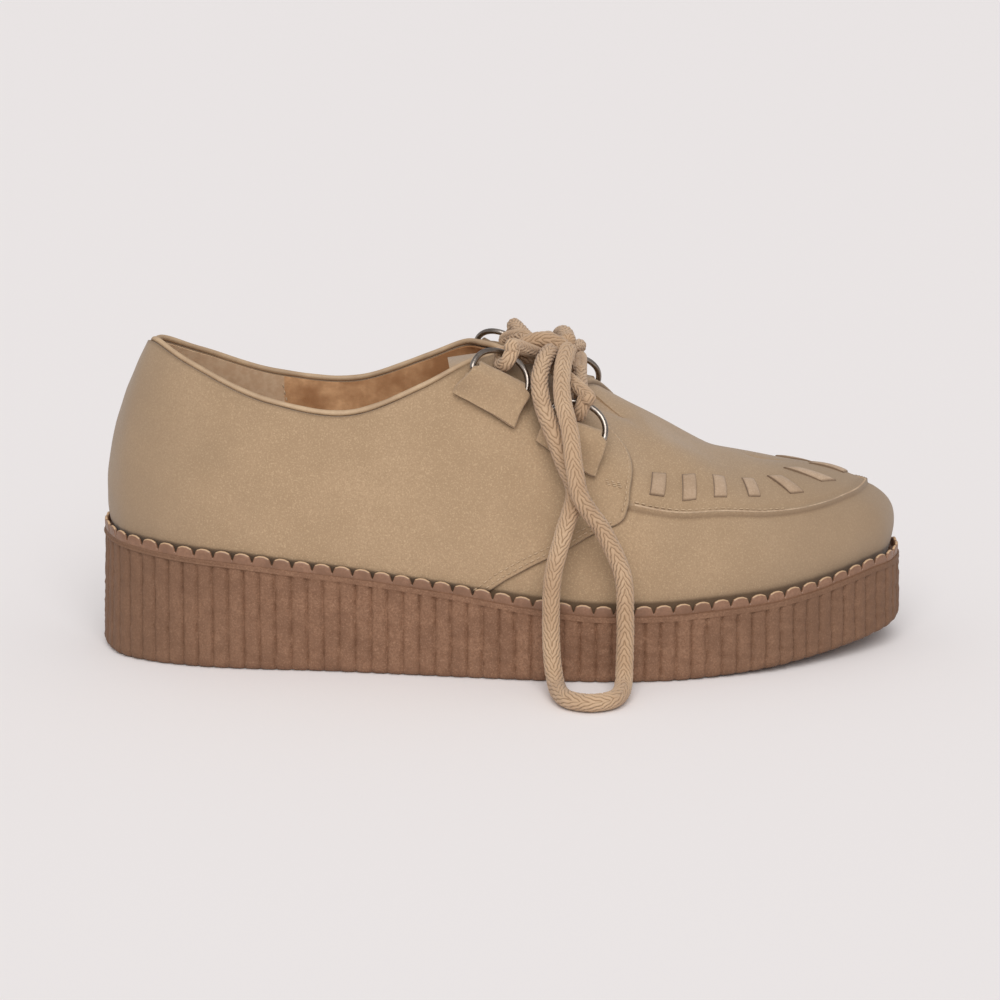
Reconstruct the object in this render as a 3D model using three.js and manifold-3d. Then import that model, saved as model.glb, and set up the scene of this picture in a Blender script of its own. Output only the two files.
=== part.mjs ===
// Lace-up creeper shoe for the right foot: suede upper with an apron, ring lacing and a ribbed platform sole.
// Millimetres, +Z up, +X to the toe, +Y to the inner (medial) side. The origin is on the floor under the middle.
import * as THREE from 'three';
import { mergeVertices } from 'three/addons/utils/BufferGeometryUtils.js';
import Module from 'manifold-3d';

// Driving dimensions
const SOLE_LENGTH = 290;
const BALL_WIDTH = 106.6;
const HEEL_HEIGHT = 46.5;
const COLLAR_HEIGHT = 115;
const TOE_SPRING = 8;
const SOLE_FLARE = 2;
const SOLE_CORNER = 3;
const RIB_COUNT = 120;
const RIB_DEPTH = 1.3;
const BAND_HEIGHT = 2;
const BAND_PROUD = 0.2;
const RAND_HEIGHT = 3.8;
const RAND_THICKNESS = 2.5;
const TAB_COUNT = 96;
const NOTCH_DEPTH = 2;
const FOOT_CLEARANCE = 0.9;
const WALL = 2;
const GAP = 0.3;
const QUARTER_STEP = 1.4;
const SEAM_RISE = 1.3;
const SEAM_WIDTH = 2.4;
const STRIP_RISE = 1.3;
const STRIP_WIDTH = 5.2;
const STRIP_SEAT = 1;
const STRIP_END_RISE = 0.25;
const STRIP_EDGE_RISE = 0.7;
const INSOLE_THICKNESS = 3;
const INSOLE_MARGIN = 1;
const TONGUE_THICKNESS = 2.4;
const TONGUE_CLEARANCE = 1.1;
const TONGUE_REACH = 20;
const TONGUE_TAPER = 0.15;
const TONGUE_DROP = 3;
const BINDING_DIAMETER = 2.4;
const BINDING_SEAT = 0.55;
const RING_WIDTH = 24;
const RING_DEPTH = 12.8;
const RING_WIRE = 2.6;
const RING_LIFT = 1.1;
const RING_LEAN = 13;
const RING_PLAY = 0.3;
const TAB_LENGTH = 9.5;
const TAB_WIDTH = 23;
const TAB_NECK = 0.79;
const TAB_SHOULDER = 2.2;
const TAB_SLANT = 0.36;
const TAB_LEATHER = 1.4;
const TAB_SEAT = 0.8;
const TAB_LIFT_START = 0.7;
const TAB_LIFT_END = 0.3;
const RING_SQUARENESS = 0.8;
const LACE_DIAMETER = 5.8;
const LACE_PRESSED = 4.9;
const LACE_GAP = 0.4;

// Shares of the length along the sole, from the heel's back
const SPRING_START = 0.68;
const SLIT_END = 0.75;
const BINDING_END = 0.6;

// The sole's edge from the heel's back along the outer side, and from the toe's tip back along the inner side.
// along is a share of the sole's length, across a share of the ball's width.
const OUTER_EDGE = [
  { along: 0, across: 0.02 },
  { along: 0.02, across: -0.157 },
  { along: 0.06, across: -0.252 },
  { along: 0.12, across: -0.317 },
  { along: 0.19, across: -0.352 },
  { along: 0.286, across: -0.377 },
  { along: 0.382, across: -0.416 },
  { along: 0.473, across: -0.455 },
  { along: 0.54, across: -0.481 },
  { along: 0.623, across: -0.5 },
  { along: 0.708, across: -0.483 },
  { along: 0.811, across: -0.404 },
  { along: 0.864, across: -0.335 },
  { along: 0.919, across: -0.239 },
  { along: 0.957, across: -0.156 },
  { along: 0.988, across: -0.06 },
];
const INNER_EDGE = [
  { along: 1.003, across: 0.09 },
  { along: 0.988, across: 0.225 },
  { along: 0.935, across: 0.355 },
  { along: 0.85, across: 0.455 },
  { along: 0.75, across: 0.5 },
  { along: 0.66, across: 0.493 },
  { along: 0.55, across: 0.435 },
  { along: 0.42, across: 0.375 },
  { along: 0.3, across: 0.355 },
  { along: 0.19, across: 0.365 },
  { along: 0.085, across: 0.315 },
  { along: 0.022, across: 0.19 },
];

// The rand's top along the shoe, as shares of the heel's height
const RAND_TOP = [
  { along: 0, height: 1.02 },
  { along: 0.065, height: 0.97 },
  { along: 0.121, height: 0.935 },
  { along: 0.185, height: 0.903 },
  { along: 0.257, height: 0.853 },
  { along: 0.32, height: 0.815 },
  { along: 0.426, height: 0.738 },
  { along: 0.54, height: 0.634 },
  { along: 0.6, height: 0.594 },
  { along: 0.68, height: 0.588 },
  { along: 0.75, height: 0.602 },
  { along: 0.85, height: 0.643 },
  { along: 0.89, height: 0.677 },
  { along: 0.93, height: 0.726 },
  { along: 0.96, height: 0.758 },
  { along: 1, height: 0.77 },
];

// The upper's hoops: each is one curve from the foot of the wall up to the collar, the throat or the ridge.
// q is the share of the way round one side. along, outer, inner, outerTop and innerTop place the hoop's top
// (shares of length, ball width and collar height), lean and rise shape its start, fall and the tilts its end.
const HOOPS = [
  { q: 0, along: 0.07, outer: 0.006, outerTop: 0.975, inner: 0.006, innerTop: 0.975,
    lean: 6, rise: 0.2, fall: 0.26, outerTilt: 62, innerTilt: 62 },
  { q: 0.07, along: 0.079, outer: -0.075, outerTop: 0.995, inner: 0.09, innerTop: 0.975,
    lean: 6, rise: 0.2, fall: 0.24, outerTilt: 66, innerTilt: 66 },
  { q: 0.17, along: 0.125, outer: -0.178, outerTop: 0.94, inner: 0.168, innerTop: 0.925,
    lean: 6, rise: 0.2, fall: 0.2, outerTilt: 74, innerTilt: 74 },
  { q: 0.29, along: 0.225, outer: -0.256, outerTop: 0.835, inner: 0.248, innerTop: 0.835,
    lean: 7, rise: 0.18, fall: 0.16, outerTilt: 80, innerTilt: 80 },
  { q: 0.38, along: 0.32, outer: -0.277, outerTop: 0.805, inner: 0.27, innerTop: 0.815,
    lean: 8, rise: 0.17, fall: 0.16, outerTilt: 82, innerTilt: 82 },
  { q: 0.46, along: 0.405, outer: -0.272, outerTop: 0.885, inner: 0.265, innerTop: 0.885,
    lean: 8, rise: 0.18, fall: 0.18, outerTilt: 74, innerTilt: 74 },
  { q: 0.52, along: 0.458, outer: -0.235, outerTop: 0.95, inner: 0.235, innerTop: 0.94,
    lean: 9, rise: 0.19, fall: 0.22, outerTilt: 56, innerTilt: 56 },
  { q: 0.56, along: 0.48, outer: -0.15, outerTop: 0.955, inner: 0.15, innerTop: 0.95,
    lean: 10, rise: 0.2, fall: 0.26, outerTilt: 38, innerTilt: 38 },
  { q: 0.6, along: 0.5, outer: -0.085, outerTop: 0.945, inner: 0.085, innerTop: 0.95,
    lean: 10, rise: 0.21, fall: 0.28, outerTilt: 24, innerTilt: 20 },
  { q: 0.65, along: 0.545, outer: -0.068, outerTop: 0.855, inner: 0.062, innerTop: 0.895,
    lean: 10, rise: 0.22, fall: 0.3, outerTilt: 22, innerTilt: 12 },
  { q: 0.7, along: 0.6, outer: -0.035, outerTop: 0.772, inner: 0.035, innerTop: 0.815,
    lean: 10, rise: 0.23, fall: 0.3, outerTilt: 20, innerTilt: 8 },
  { q: 0.75, along: 0.65, outer: -0.002, outerTop: 0.718, inner: -0.002, innerTop: 0.718,
    lean: 10, rise: 0.23, fall: 0.28, outerTilt: 8, innerTilt: -6 },
  { q: 0.81, along: 0.705, outer: 0.02, outerTop: 0.643, inner: 0.02, innerTop: 0.643,
    lean: 10, rise: 0.22, fall: 0.25, outerTilt: 1, innerTilt: 1 },
  { q: 0.87, along: 0.76, outer: 0.035, outerTop: 0.61, inner: 0.035, innerTop: 0.61,
    lean: 12, rise: 0.21, fall: 0.23, outerTilt: 1, innerTilt: 1 },
  { q: 0.93, along: 0.8, outer: 0.045, outerTop: 0.588, inner: 0.045, innerTop: 0.588,
    lean: 16, rise: 0.21, fall: 0.21, outerTilt: 1, innerTilt: 1 },
  { q: 1, along: 0.84, outer: 0.06, outerTop: 0.575, inner: 0.06, innerTop: 0.575,
    lean: 18, rise: 0.21, fall: 0.24, outerTilt: 4, innerTilt: 4 },
];

// The quarter's front edge, from the foot of the wall (v 0) to the throat (v 1)
const QUARTER_EDGE = [
  { v: 0, q: 0.465 },
  { v: 0.135, q: 0.5 },
  { v: 0.22, q: 0.535 },
  { v: 0.3, q: 0.583 },
  { v: 0.36, q: 0.628 },
  { v: 0.42, q: 0.644 },
  { v: 0.5, q: 0.657 },
  { v: 0.6, q: 0.674 },
  { v: 0.7, q: 0.685 },
  { v: 0.8, q: 0.687 },
  { v: 1, q: 0.7 },
];

// The apron's seam, from the quarter's edge round to the toe's tip
const APRON_SEAM = [
  { q: 0, v: 0.43 },
  { q: 0.65, v: 0.435 },
  { q: 0.7, v: 0.423 },
  { q: 0.76, v: 0.41 },
  { q: 0.85, v: 0.41 },
  { q: 0.9, v: 0.427 },
  { q: 0.95, v: 0.465 },
  { q: 1, v: 0.52 },
];

// The woven strips of the apron: the middle of each one's lower and upper end
const STRIPS = [
  { q: 0.686, v: 0.5, toQ: 0.706, toV: 0.612 },
  { q: 0.719, v: 0.48, toQ: 0.738, toV: 0.6 },
  { q: 0.756, v: 0.483, toQ: 0.776, toV: 0.605 },
  { q: 0.803, v: 0.497, toQ: 0.818, toV: 0.615 },
  { q: 0.862, v: 0.51, toQ: 0.86, toV: 0.645 },
  { q: 0.93, v: 0.57, toQ: 0.914, toV: 0.73 },
  { q: 1, v: 0.64, toQ: 1, toV: 0.82 },
];

// The lacing rings: where the middle of each one's bar sits on the quarters
const RINGS = [
  { name: 'upper', side: 'outer', q: 0.54, v: 0.877 },
  { name: 'lower', side: 'outer', q: 0.615, v: 0.652 },
  { name: 'upper', side: 'inner', q: 0.54, v: 0.855 },
  { name: 'lower', side: 'inner', q: 0.626, v: 0.68 },
];

// The lace over the tongue: the middle of its bar, the crossing under the knot, where it passes over the inner
// quarter's edge, and where it goes into the knot (shares of length, ball width and collar height)
const LACE_BAR_MIDDLE = { along: 0.595, across: -0.01, height: 0.868 };
const LACE_CROSSING = { along: 0.55, across: -0.038, height: 0.917 };
const LACE_OVER_EDGE = { along: 0.529, across: 0.074, height: 0.962 };
const LACE_IN_KNOT = { along: 0.55, across: -0.036, height: 0.919 };

// The routes of the free lace, chosen by hand: the knot, and the bow's two loops, which hang beside the shoe
const KNOT_ROUTE = [
  [23, -4, 103.6], [21, -4, 109.2], [14.5, -4, 111.7], [8, -4, 109.8], [5, -4, 104.6],
];
const OUTER_LOOP = [
  [17, -11.5, 108.9], [16, -16, 108.9], [14.2, -22, 107], [12.8, -29.3, 102.2], [13.8, -36, 95.2], [17, -42.5, 87.2],
  [21, -47, 77], [24.5, -53, 68], [21, -55.5, 55], [17.3, -57, 40], [16.6, -58.5, 25], [17.2, -61.5, 12],
  [19.5, -69, 4.5], [23.5, -78, 3.5], [29.5, -84.5, 3.5], [36, -78, 3.5], [39.8, -69, 4.5], [41.8, -61.5, 12],
  [42, -58.5, 25], [41, -57, 40], [34.5, -56.8, 55], [25.8, -59.8, 68], [24.5, -56, 78], [23, -48.5, 88],
  [20.7, -38.5, 97], [20.7, -27, 104.5], [22.3, -16, 109], [23.2, -11.5, 109.6],
];
const INNER_LOOP = [
  [17, 4.5, 109.8], [16.3, 10, 109.4], [15, 19, 106.6], [13, 28, 102], [10, 36, 93], [6.5, 42.5, 83],
  [4, 47, 70], [6.5, 50, 59], [12, 51, 53], [18.5, 50.5, 60], [21, 48.5, 73], [21, 44.5, 87],
  [20.8, 37, 98.6], [21, 27, 107.4], [22.4, 16, 110.3], [23, 9.5, 109.9], [23.3, 4.5, 109.8],
];

// The way the throat runs, from its top to the slit's end; the inner side mirrors it
const THROAT_HEADING = { x: 0.9, y: 0.14, z: -0.41 };

const OUTER = -1;
const INNER = 1;

const suede = new THREE.MeshStandardMaterial({ color: 0xb69c7a, roughness: 0.95, metalness: 0 });
const rubber = new THREE.MeshStandardMaterial({ color: 0x917058, roughness: 0.85, metalness: 0 });
const lining = new THREE.MeshStandardMaterial({ color: 0xb58f63, roughness: 0.7, metalness: 0 });
const edging = new THREE.MeshStandardMaterial({ color: 0xc0a583, roughness: 0.8, metalness: 0 });
const nickel = new THREE.MeshStandardMaterial({ color: 0xc8c6c2, roughness: 0.25, metalness: 1 });
const cotton = new THREE.MeshStandardMaterial({ color: 0xc3a587, roughness: 0.95, metalness: 0 });

const wasm = await Module();
wasm.setup();

const alongToX = (share) => (share - 0.5) * SOLE_LENGTH;
const xToAlong = (x) => x / SOLE_LENGTH + 0.5;
const range = (count) => Array.from({ length: count }, (unused, index) => index);
const mix = (a, b, share) => a + (b - a) * share;
const toPoint = ([x, y, z]) => new THREE.Vector3(x, y, z);
const placed = ({ along, across, height }) => new THREE.Vector3(
  alongToX(along), across * BALL_WIDTH, height * COLLAR_HEIGHT,
);

// Smooth curve through one column of a table, by another column that rises; it is flat beyond the ends
function through(table, key, column, at) {
  const last = table.length - 1;
  const t = Math.min(Math.max(at, table[0][key]), table[last][key]);
  let i = 0;
  while (i < last - 1 && table[i + 1][key] <= t) {
    i += 1;
  }
  const slope = (k) => (table[k + 1][column] - table[k][column]) / (table[k + 1][key] - table[k][key]);
  const tangent = (k) => {
    if (k === 0) {
      return slope(0);
    }
    if (k === last) {
      return slope(last - 1);
    }
    const before = table[k][key] - table[k - 1][key];
    const after = table[k + 1][key] - table[k][key];
    return (slope(k - 1) * after + slope(k) * before) / (before + after);
  };
  const width = table[i + 1][key] - table[i][key];
  const u = (t - table[i][key]) / width;
  const rise = u * u * (3 - 2 * u);
  const start = (u * u * u - 2 * u * u + u) * width * tangent(i);
  const end = (u * u * u - u * u) * width * tangent(i + 1);
  return table[i][column] * (1 - rise) + table[i + 1][column] * rise + start + end;
}

// The sole's edge as one closed curve, and each of its sides by the share of its own length
const edgeCurve = new THREE.CatmullRomCurve3(
  [...OUTER_EDGE, ...INNER_EDGE].map((row) => new THREE.Vector3(alongToX(row.along), row.across * BALL_WIDTH, 0)),
  true, 'catmullrom', 0.5,
);
edgeCurve.arcLengthDivisions = 1200;
const edgeLengths = edgeCurve.getLengths();
const edgeLength = edgeCurve.getLength();
const tipShare = edgeLengths[Math.round(1200 * OUTER_EDGE.length / (OUTER_EDGE.length + INNER_EDGE.length))]
  / edgeLength;

// A point of the sole's edge at a share of its whole length, moved inward in plan
function edgeAt(share, inset) {
  const wrapped = ((share % 1) + 1) % 1;
  const point = edgeCurve.getPointAt(wrapped);
  const tangent = edgeCurve.getTangentAt(wrapped);
  return new THREE.Vector3(point.x - tangent.y * inset, point.y + tangent.x * inset, 0);
}

const sideShare = (side, q) => (side === OUTER ? q * tipShare : 1 - q * (1 - tipShare));

// Even shares round the whole edge that start at the heel's back and meet the toe's tip half way
function ringShares(count, parts = [0]) {
  return range(count).flatMap((k) => parts.map((part) => {
    const turn = (k + part) * 2 / count;
    return turn <= 1 ? sideShare(OUTER, turn) : sideShare(INNER, 2 - turn);
  }));
}

function outwardAt(side, q) {
  const tangent = edgeCurve.getTangentAt(((sideShare(side, q) % 1) + 1) % 1);
  return new THREE.Vector3(tangent.y, -tangent.x, 0).normalize();
}

const randTop = (x) => HEEL_HEIGHT * through(RAND_TOP, 'along', 'height', xToAlong(x));
const footbed = (x) => randTop(x) - RAND_HEIGHT;

function soleUnder(x) {
  const share = Math.max(0, (xToAlong(x) - SPRING_START) / (1 - SPRING_START));
  return TOE_SPRING * Math.min(share, 1) ** 2;
}

// The foot of the upper's wall stands just inside the rand
const FOOT_INSET = SOLE_FLARE + RAND_THICKNESS + GAP + FOOT_CLEARANCE;

// One point of the upper's outer face: q goes round the side, v goes up the hoop
function upperPoint(side, q, v) {
  const column = (name) => through(HOOPS, 'q', name, q);
  const [across, height, tiltName] = side === OUTER
    ? ['outer', 'outerTop', 'outerTilt'] : ['inner', 'innerTop', 'innerTilt'];
  const foot = edgeAt(sideShare(side, q), FOOT_INSET);
  foot.z = footbed(foot.x) + GAP;
  const bound = THREE.MathUtils.smoothstep(q, BINDING_END, BINDING_END + 0.05);
  const top = new THREE.Vector3(
    alongToX(column('along')),
    column(across) * BALL_WIDTH,
    column(height) * COLLAR_HEIGHT - (BINDING_DIAMETER + GAP) * (1 - bound),
  );
  const lean = THREE.MathUtils.degToRad(column('lean'));
  const tilt = THREE.MathUtils.degToRad(column(tiltName));
  const rise = column('rise') * COLLAR_HEIGHT;
  const fall = column('fall') * COLLAR_HEIGHT;
  const up = new THREE.Vector3(0, 0, 1);
  const outward = outwardAt(side, q);
  const spread = new THREE.Vector3(foot.x - top.x, foot.y - top.y, 0).normalize();
  const first = foot.clone()
    .addScaledVector(outward, rise * Math.sin(lean))
    .addScaledVector(up, rise * Math.cos(lean));
  const second = top.clone()
    .addScaledVector(spread, fall * Math.cos(tilt))
    .addScaledVector(up, -fall * Math.sin(tilt));
  return new THREE.CubicBezierCurve3(foot, first, second, top).getPoint(v);
}

// The outward direction of the upper's face at a point, from its neighbours
function upperNormal(side, q, v) {
  const step = 0.004;
  const [q0, q1] = [Math.max(q - step, 0), Math.min(q + step, 1)];
  const [v0, v1] = [Math.max(v - step, 0), Math.min(v + step, 1)];
  const around = upperPoint(side, q1, v).sub(upperPoint(side, q0, v));
  const upward = upperPoint(side, q, v1).sub(upperPoint(side, q, v0));
  return around.cross(upward).multiplyScalar(-side).normalize();
}

const onUpper = (side, q, v, height) => upperPoint(side, q, v)
  .addScaledVector(upperNormal(side, q, v), height);

// A mesh from points and triangles, with its faces turned outward
function closedGeometry(points, triangles) {
  const geometry = new THREE.BufferGeometry();
  geometry.setAttribute('position', new THREE.Float32BufferAttribute(points.flatMap((p) => [p.x, p.y, p.z]), 3));
  geometry.setIndex(triangles.flat());
  return facingOut(geometry);
}

function signedVolume(geometry) {
  const [position, index] = [geometry.getAttribute('position'), geometry.getIndex()];
  const corners = [new THREE.Vector3(), new THREE.Vector3(), new THREE.Vector3()];
  let volume = 0;
  for (let i = 0; i < index.count; i += 3) {
    corners.forEach((corner, k) => corner.fromBufferAttribute(position, index.getX(i + k)));
    volume += corners[0].dot(corners[1].clone().cross(corners[2])) / 6;
  }
  return volume;
}

function facingOut(geometry) {
  if (signedVolume(geometry) < 0) {
    const index = geometry.getIndex();
    for (let i = 0; i < index.count; i += 3) {
      const [a, b] = [index.getX(i), index.getX(i + 1)];
      index.setX(i, b);
      index.setX(i + 1, a);
    }
  }
  return geometry;
}

function welded(geometry) {
  const plain = geometry.clone();
  plain.deleteAttribute('normal');
  plain.deleteAttribute('uv');
  return facingOut(mergeVertices(plain, 1e-4));
}

function piece(name, geometry, material) {
  const mesh = new THREE.Mesh(geometry, material);
  mesh.name = name;
  return mesh;
}

function toSolid(geometry) {
  const plain = welded(geometry);
  const mesh = new wasm.Mesh({
    numProp: 3,
    vertProperties: new Float32Array(plain.getAttribute('position').array),
    triVerts: new Uint32Array(plain.getIndex().array),
  });
  return new wasm.Manifold(mesh);
}

function fromSolid(solid) {
  const mesh = solid.getMesh();
  const geometry = new THREE.BufferGeometry();
  geometry.setAttribute('position', new THREE.Float32BufferAttribute(Array.from(mesh.vertProperties), 3));
  geometry.setIndex(Array.from(mesh.triVerts));
  return geometry;
}

const joined = (geometries) => fromSolid(geometries.map(toSolid).reduce((whole, next) => whole.add(next)));

// Triangles between two rings of point numbers, where the finer ring has several points for each coarse one
function stitch(coarse, fine) {
  const per = fine.length / coarse.length;
  return coarse.flatMap((a, k) => {
    const next = coarse[(k + 1) % coarse.length];
    const fan = range(per).map((j) => [a, fine[k * per + j], fine[(k * per + j + 1) % fine.length]]);
    return [...fan, [a, fine[((k + 1) * per) % fine.length], next]];
  });
}

// Triangles between two rows of point numbers that run the same way; rows may share their end points
function between(row, other) {
  return range(row.length - 1).flatMap((i) => [
    [row[i], row[i + 1], other[i + 1]],
    [row[i], other[i + 1], other[i]],
  ].filter((face) => new Set(face).size === 3));
}

// Triangles that close a ring which starts at one tip and has its other tip half way round
function pointedCap(ring) {
  const half = ring.length / 2;
  const back = [ring[0], ...ring.slice(half).reverse()];
  return between(ring.slice(0, half + 1), back);
}

// Triangles that close a ring made of a row and the row under it, in turn
function bluntCap(ring) {
  const half = ring.length / 2;
  return between(ring.slice(0, half), ring.slice(half).reverse());
}

const flip = (triangles) => triangles.map(([a, b, c]) => [a, c, b]);

// Rings of points that share one list, with their numbers kept
function ringStore() {
  const points = [];
  const add = (ring) => ring.map((point) => points.push(point) - 1);
  return { points, add };
}

function outsoleGeometry() {
  const { points, add } = ringStore();
  const flareAt = (z) => SOLE_FLARE * z / HEEL_HEIGHT;
  const around = (shares, inset, level) => shares.map((share, k) => {
    const depth = typeof inset === 'function' ? inset(k) : inset;
    const near = edgeAt(share, depth);
    const point = edgeAt(share, depth + flareAt(level(near.x)));
    return point.setZ(level(point.x));
  });
  const plain = ringShares(RIB_COUNT);
  const ribbed = ringShares(RIB_COUNT, [0.08, 0.72, 0.9]);
  const ribDepth = (k) => (k % 3 === 2 ? BAND_PROUD + RIB_DEPTH : BAND_PROUD);
  const bandFoot = (x) => footbed(x) - BAND_HEIGHT;
  const bottom = add(around(plain, SOLE_CORNER, soleUnder));
  const ribFoot = add(around(ribbed, ribDepth, (x) => soleUnder(x) + SOLE_CORNER));
  const ribTop = add(around(ribbed, ribDepth, bandFoot));
  const bandLow = add(around(plain, 0, bandFoot));
  const bandTop = add(around(plain, 0, footbed));
  return closedGeometry(points, [
    ...pointedCap(bottom),
    ...stitch(bottom, ribFoot),
    ...stitch(ribFoot, ribTop),
    ...flip(stitch(bandLow, ribTop)),
    ...stitch(bandLow, bandTop),
    ...flip(pointedCap(bandTop)),
  ]);
}

function randGeometry() {
  const { points, add } = ringStore();
  const around = (shares, inset, level) => shares.map((share, k) => {
    const point = edgeAt(share, inset);
    return point.setZ(level(point.x, k));
  });
  const plain = ringShares(TAB_COUNT);
  const toothed = ringShares(TAB_COUNT, [0, 0.14, 0.86]);
  const foot = (x) => footbed(x) + GAP;
  const crest = (x, k) => randTop(x) - (k % 3 === 0 ? NOTCH_DEPTH : 0);
  const [outer, inner] = [SOLE_FLARE, SOLE_FLARE + RAND_THICKNESS];
  const outerFoot = add(around(plain, outer, foot));
  const outerCrest = add(around(toothed, outer, crest));
  const innerCrest = add(around(toothed, inner, crest));
  const innerFoot = add(around(plain, inner, foot));
  return closedGeometry(points, [
    ...stitch(outerFoot, outerCrest),
    ...stitch(outerCrest, innerCrest),
    ...flip(stitch(innerFoot, innerCrest)),
    ...stitch(innerFoot, outerFoot),
  ]);
}

// Columns and rows of the upper's faces; each column bends to the quarter's edge, each row to the apron's seam
const EDGE_COLUMN = 0.66;
const SEAM_ROW = 0.42;
const EDGE_HALF = 0.0012;
const FOOT_ROW = 0.05;
const UPPER_COLUMNS = [
  0, 0.035, 0.07, 0.11, 0.16, 0.21, 0.26, 0.31, 0.36, 0.405, 0.44, 0.475, 0.505, 0.53, 0.555, 0.58, 0.605, 0.63,
  EDGE_COLUMN - EDGE_HALF, EDGE_COLUMN + EDGE_HALF, 0.69, 0.72, SLIT_END, 0.78, 0.81, 0.84, 0.87, 0.9, 0.925,
  0.95, 0.975, 1,
];
const UPPER_ROWS = [0, FOOT_ROW, 0.11, 0.2, 0.3, 0.36, 'low', 'seam', 'high', 0.5, 0.6, 0.7, 0.8, 0.9, 1];

const hat = (x, from, peak, to) => Math.max(0, Math.min((x - from) / (peak - from), (to - x) / (to - peak)));

function columnShare(column, v) {
  const shift = through(QUARTER_EDGE, 'v', 'q', v) - EDGE_COLUMN;
  return column + shift * hat(column, 0.3, EDGE_COLUMN, SLIT_END);
}

function rowShare(row, q) {
  const seam = through(APRON_SEAM, 'q', 'v', q);
  const half = SEAM_WIDTH / 2 / COLLAR_HEIGHT * 1.5;
  const named = { low: seam - half, seam, high: seam + half };
  return typeof row === 'string' ? named[row] : row + (seam - SEAM_ROW) * hat(row, 0, SEAM_ROW, 1);
}

// How far the outer face stands out: the quarter lies on the vamp, and the seam is a raised bead
function reliefAt(column, row) {
  if (row === FOOT_ROW) {
    return 0;
  }
  if (column < EDGE_COLUMN) {
    return QUARTER_STEP;
  }
  return row === 'seam' ? SEAM_RISE : 0;
}

function upperShell() {
  const sides = [];
  UPPER_COLUMNS.forEach((column) => sides.push({ side: OUTER, column }));
  [...UPPER_COLUMNS].reverse().slice(1, -1).forEach((column) => sides.push({ side: INNER, column }));
  const outerPoints = [];
  const numbers = sides.map(({ side, column }, c) => UPPER_ROWS.map((row, r) => {
    const onRidge = r === UPPER_ROWS.length - 1 && side === INNER && column >= SLIT_END;
    if (onRidge) {
      return null;
    }
    let q = columnShare(column, typeof row === 'string' ? SEAM_ROW : row);
    const v = rowShare(row, q);
    q = columnShare(column, v);
    return outerPoints.push({ side, q, v, relief: reliefAt(column, row), column: c, row: r }) - 1;
  }));
  sides.forEach(({ side, column }, c) => {
    if (numbers[c].at(-1) === null) {
      const twin = sides.findIndex((other) => other.side === OUTER && other.column === column);
      numbers[c][UPPER_ROWS.length - 1] = numbers[twin].at(-1);
    }
  });
  return { outerPoints, numbers };
}

function upperBodyGeometry() {
  const { outerPoints, numbers } = upperShell();
  const count = outerPoints.length;
  const [columns, rows] = [numbers.length, UPPER_ROWS.length];
  const faces = [];
  const openTop = [];
  range(columns).forEach((c) => {
    const next = (c + 1) % columns;
    range(rows - 1).forEach((r) => {
      const [a, b] = [numbers[c][r], numbers[next][r]];
      const [d, e] = [numbers[c][r + 1], numbers[next][r + 1]];
      faces.push([a, b, e], [a, e, d]);
    });
    const topEdge = [numbers[c][rows - 1], numbers[next][rows - 1]];
    const shared = (number) => outerPoints[number].q >= SLIT_END - 1e-6;
    if (!(shared(topEdge[0]) && shared(topEdge[1]))) {
      openTop.push(topEdge);
    }
  });
  const base = outerPoints.map(({ side, q, v }) => upperPoint(side, q, v));
  const sheet = new THREE.BufferGeometry();
  sheet.setAttribute('position', new THREE.Float32BufferAttribute(base.flatMap((p) => [p.x, p.y, p.z]), 3));
  sheet.setIndex(faces.flat());
  sheet.computeVertexNormals();
  const normals = base.map((unused, i) => new THREE.Vector3().fromBufferAttribute(sheet.getAttribute('normal'), i));
  const outerFace = base.map((p, i) => p.clone().addScaledVector(normals[i], outerPoints[i].relief));
  const innerFace = base.map((p, i) => p.clone().addScaledVector(normals[i], -WALL));
  outerPoints.forEach(({ row }, i) => {
    if (row === 0) {
      outerFace[i].z = base[i].z;
      innerFace[i].z = base[i].z;
      outerFace[i].x = base[i].x;
      outerFace[i].y = base[i].y;
    }
  });
  const bottom = range(columns).map((c) => [numbers[c][0], numbers[(c + 1) % columns][0]]);
  const rim = (edges) => edges.flatMap(([a, b]) => [[a, b, b + count], [a, b + count, a + count]]);
  return closedGeometry([...outerFace, ...innerFace], [
    ...faces,
    ...flip(faces).map((face) => face.map((i) => i + count)),
    ...flip(rim(bottom)),
    ...rim(openTop),
  ]);
}

// One woven strip: a pad with its sides down in the apron
function stripGeometry(side, strip) {
  const [lower, upper] = [[strip.q, strip.v], [strip.toQ, strip.toV]];
  const acrossStep = STRIP_WIDTH / 2 / (edgeLength / 2);
  const { points, add } = ringStore();
  const stations = [0, 0.12, 0.5, 0.88, 1];
  const placeAt = (along, across, height) => {
    const q = mix(lower[0], upper[0], along) + across * acrossStep;
    const v = mix(lower[1], upper[1], along);
    const over = q > 1;
    return onUpper(over ? -side : side, over ? 2 - q : q, v, height);
  };
  const rings = stations.map((along) => {
    const crown = along === 0 || along === 1 ? STRIP_RISE * STRIP_END_RISE : STRIP_RISE;
    return add([
      placeAt(along, -1, -STRIP_SEAT),
      placeAt(along, 1, -STRIP_SEAT),
      placeAt(along, 1, crown * STRIP_EDGE_RISE),
      placeAt(along, 0, crown),
      placeAt(along, -1, crown * STRIP_EDGE_RISE),
    ]);
  });
  const walls = rings.slice(1).flatMap((ring, k) => stitch(rings[k], ring));
  const cap = (ring) => [[ring[0], ring[1], ring[2]], [ring[0], ring[2], ring[3]], [ring[0], ring[3], ring[4]]];
  return closedGeometry(points, [...walls, ...cap(rings[0]), ...flip(cap(rings.at(-1)))]);
}

function upperGeometry() {
  const strips = STRIPS.flatMap((strip) => {
    const central = strip.q === 1;
    return central ? [stripGeometry(OUTER, strip)] : [stripGeometry(OUTER, strip), stripGeometry(INNER, strip)];
  });
  return joined([upperBodyGeometry(), ...strips]);
}

const INSOLE_STEPS = 48;

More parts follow.
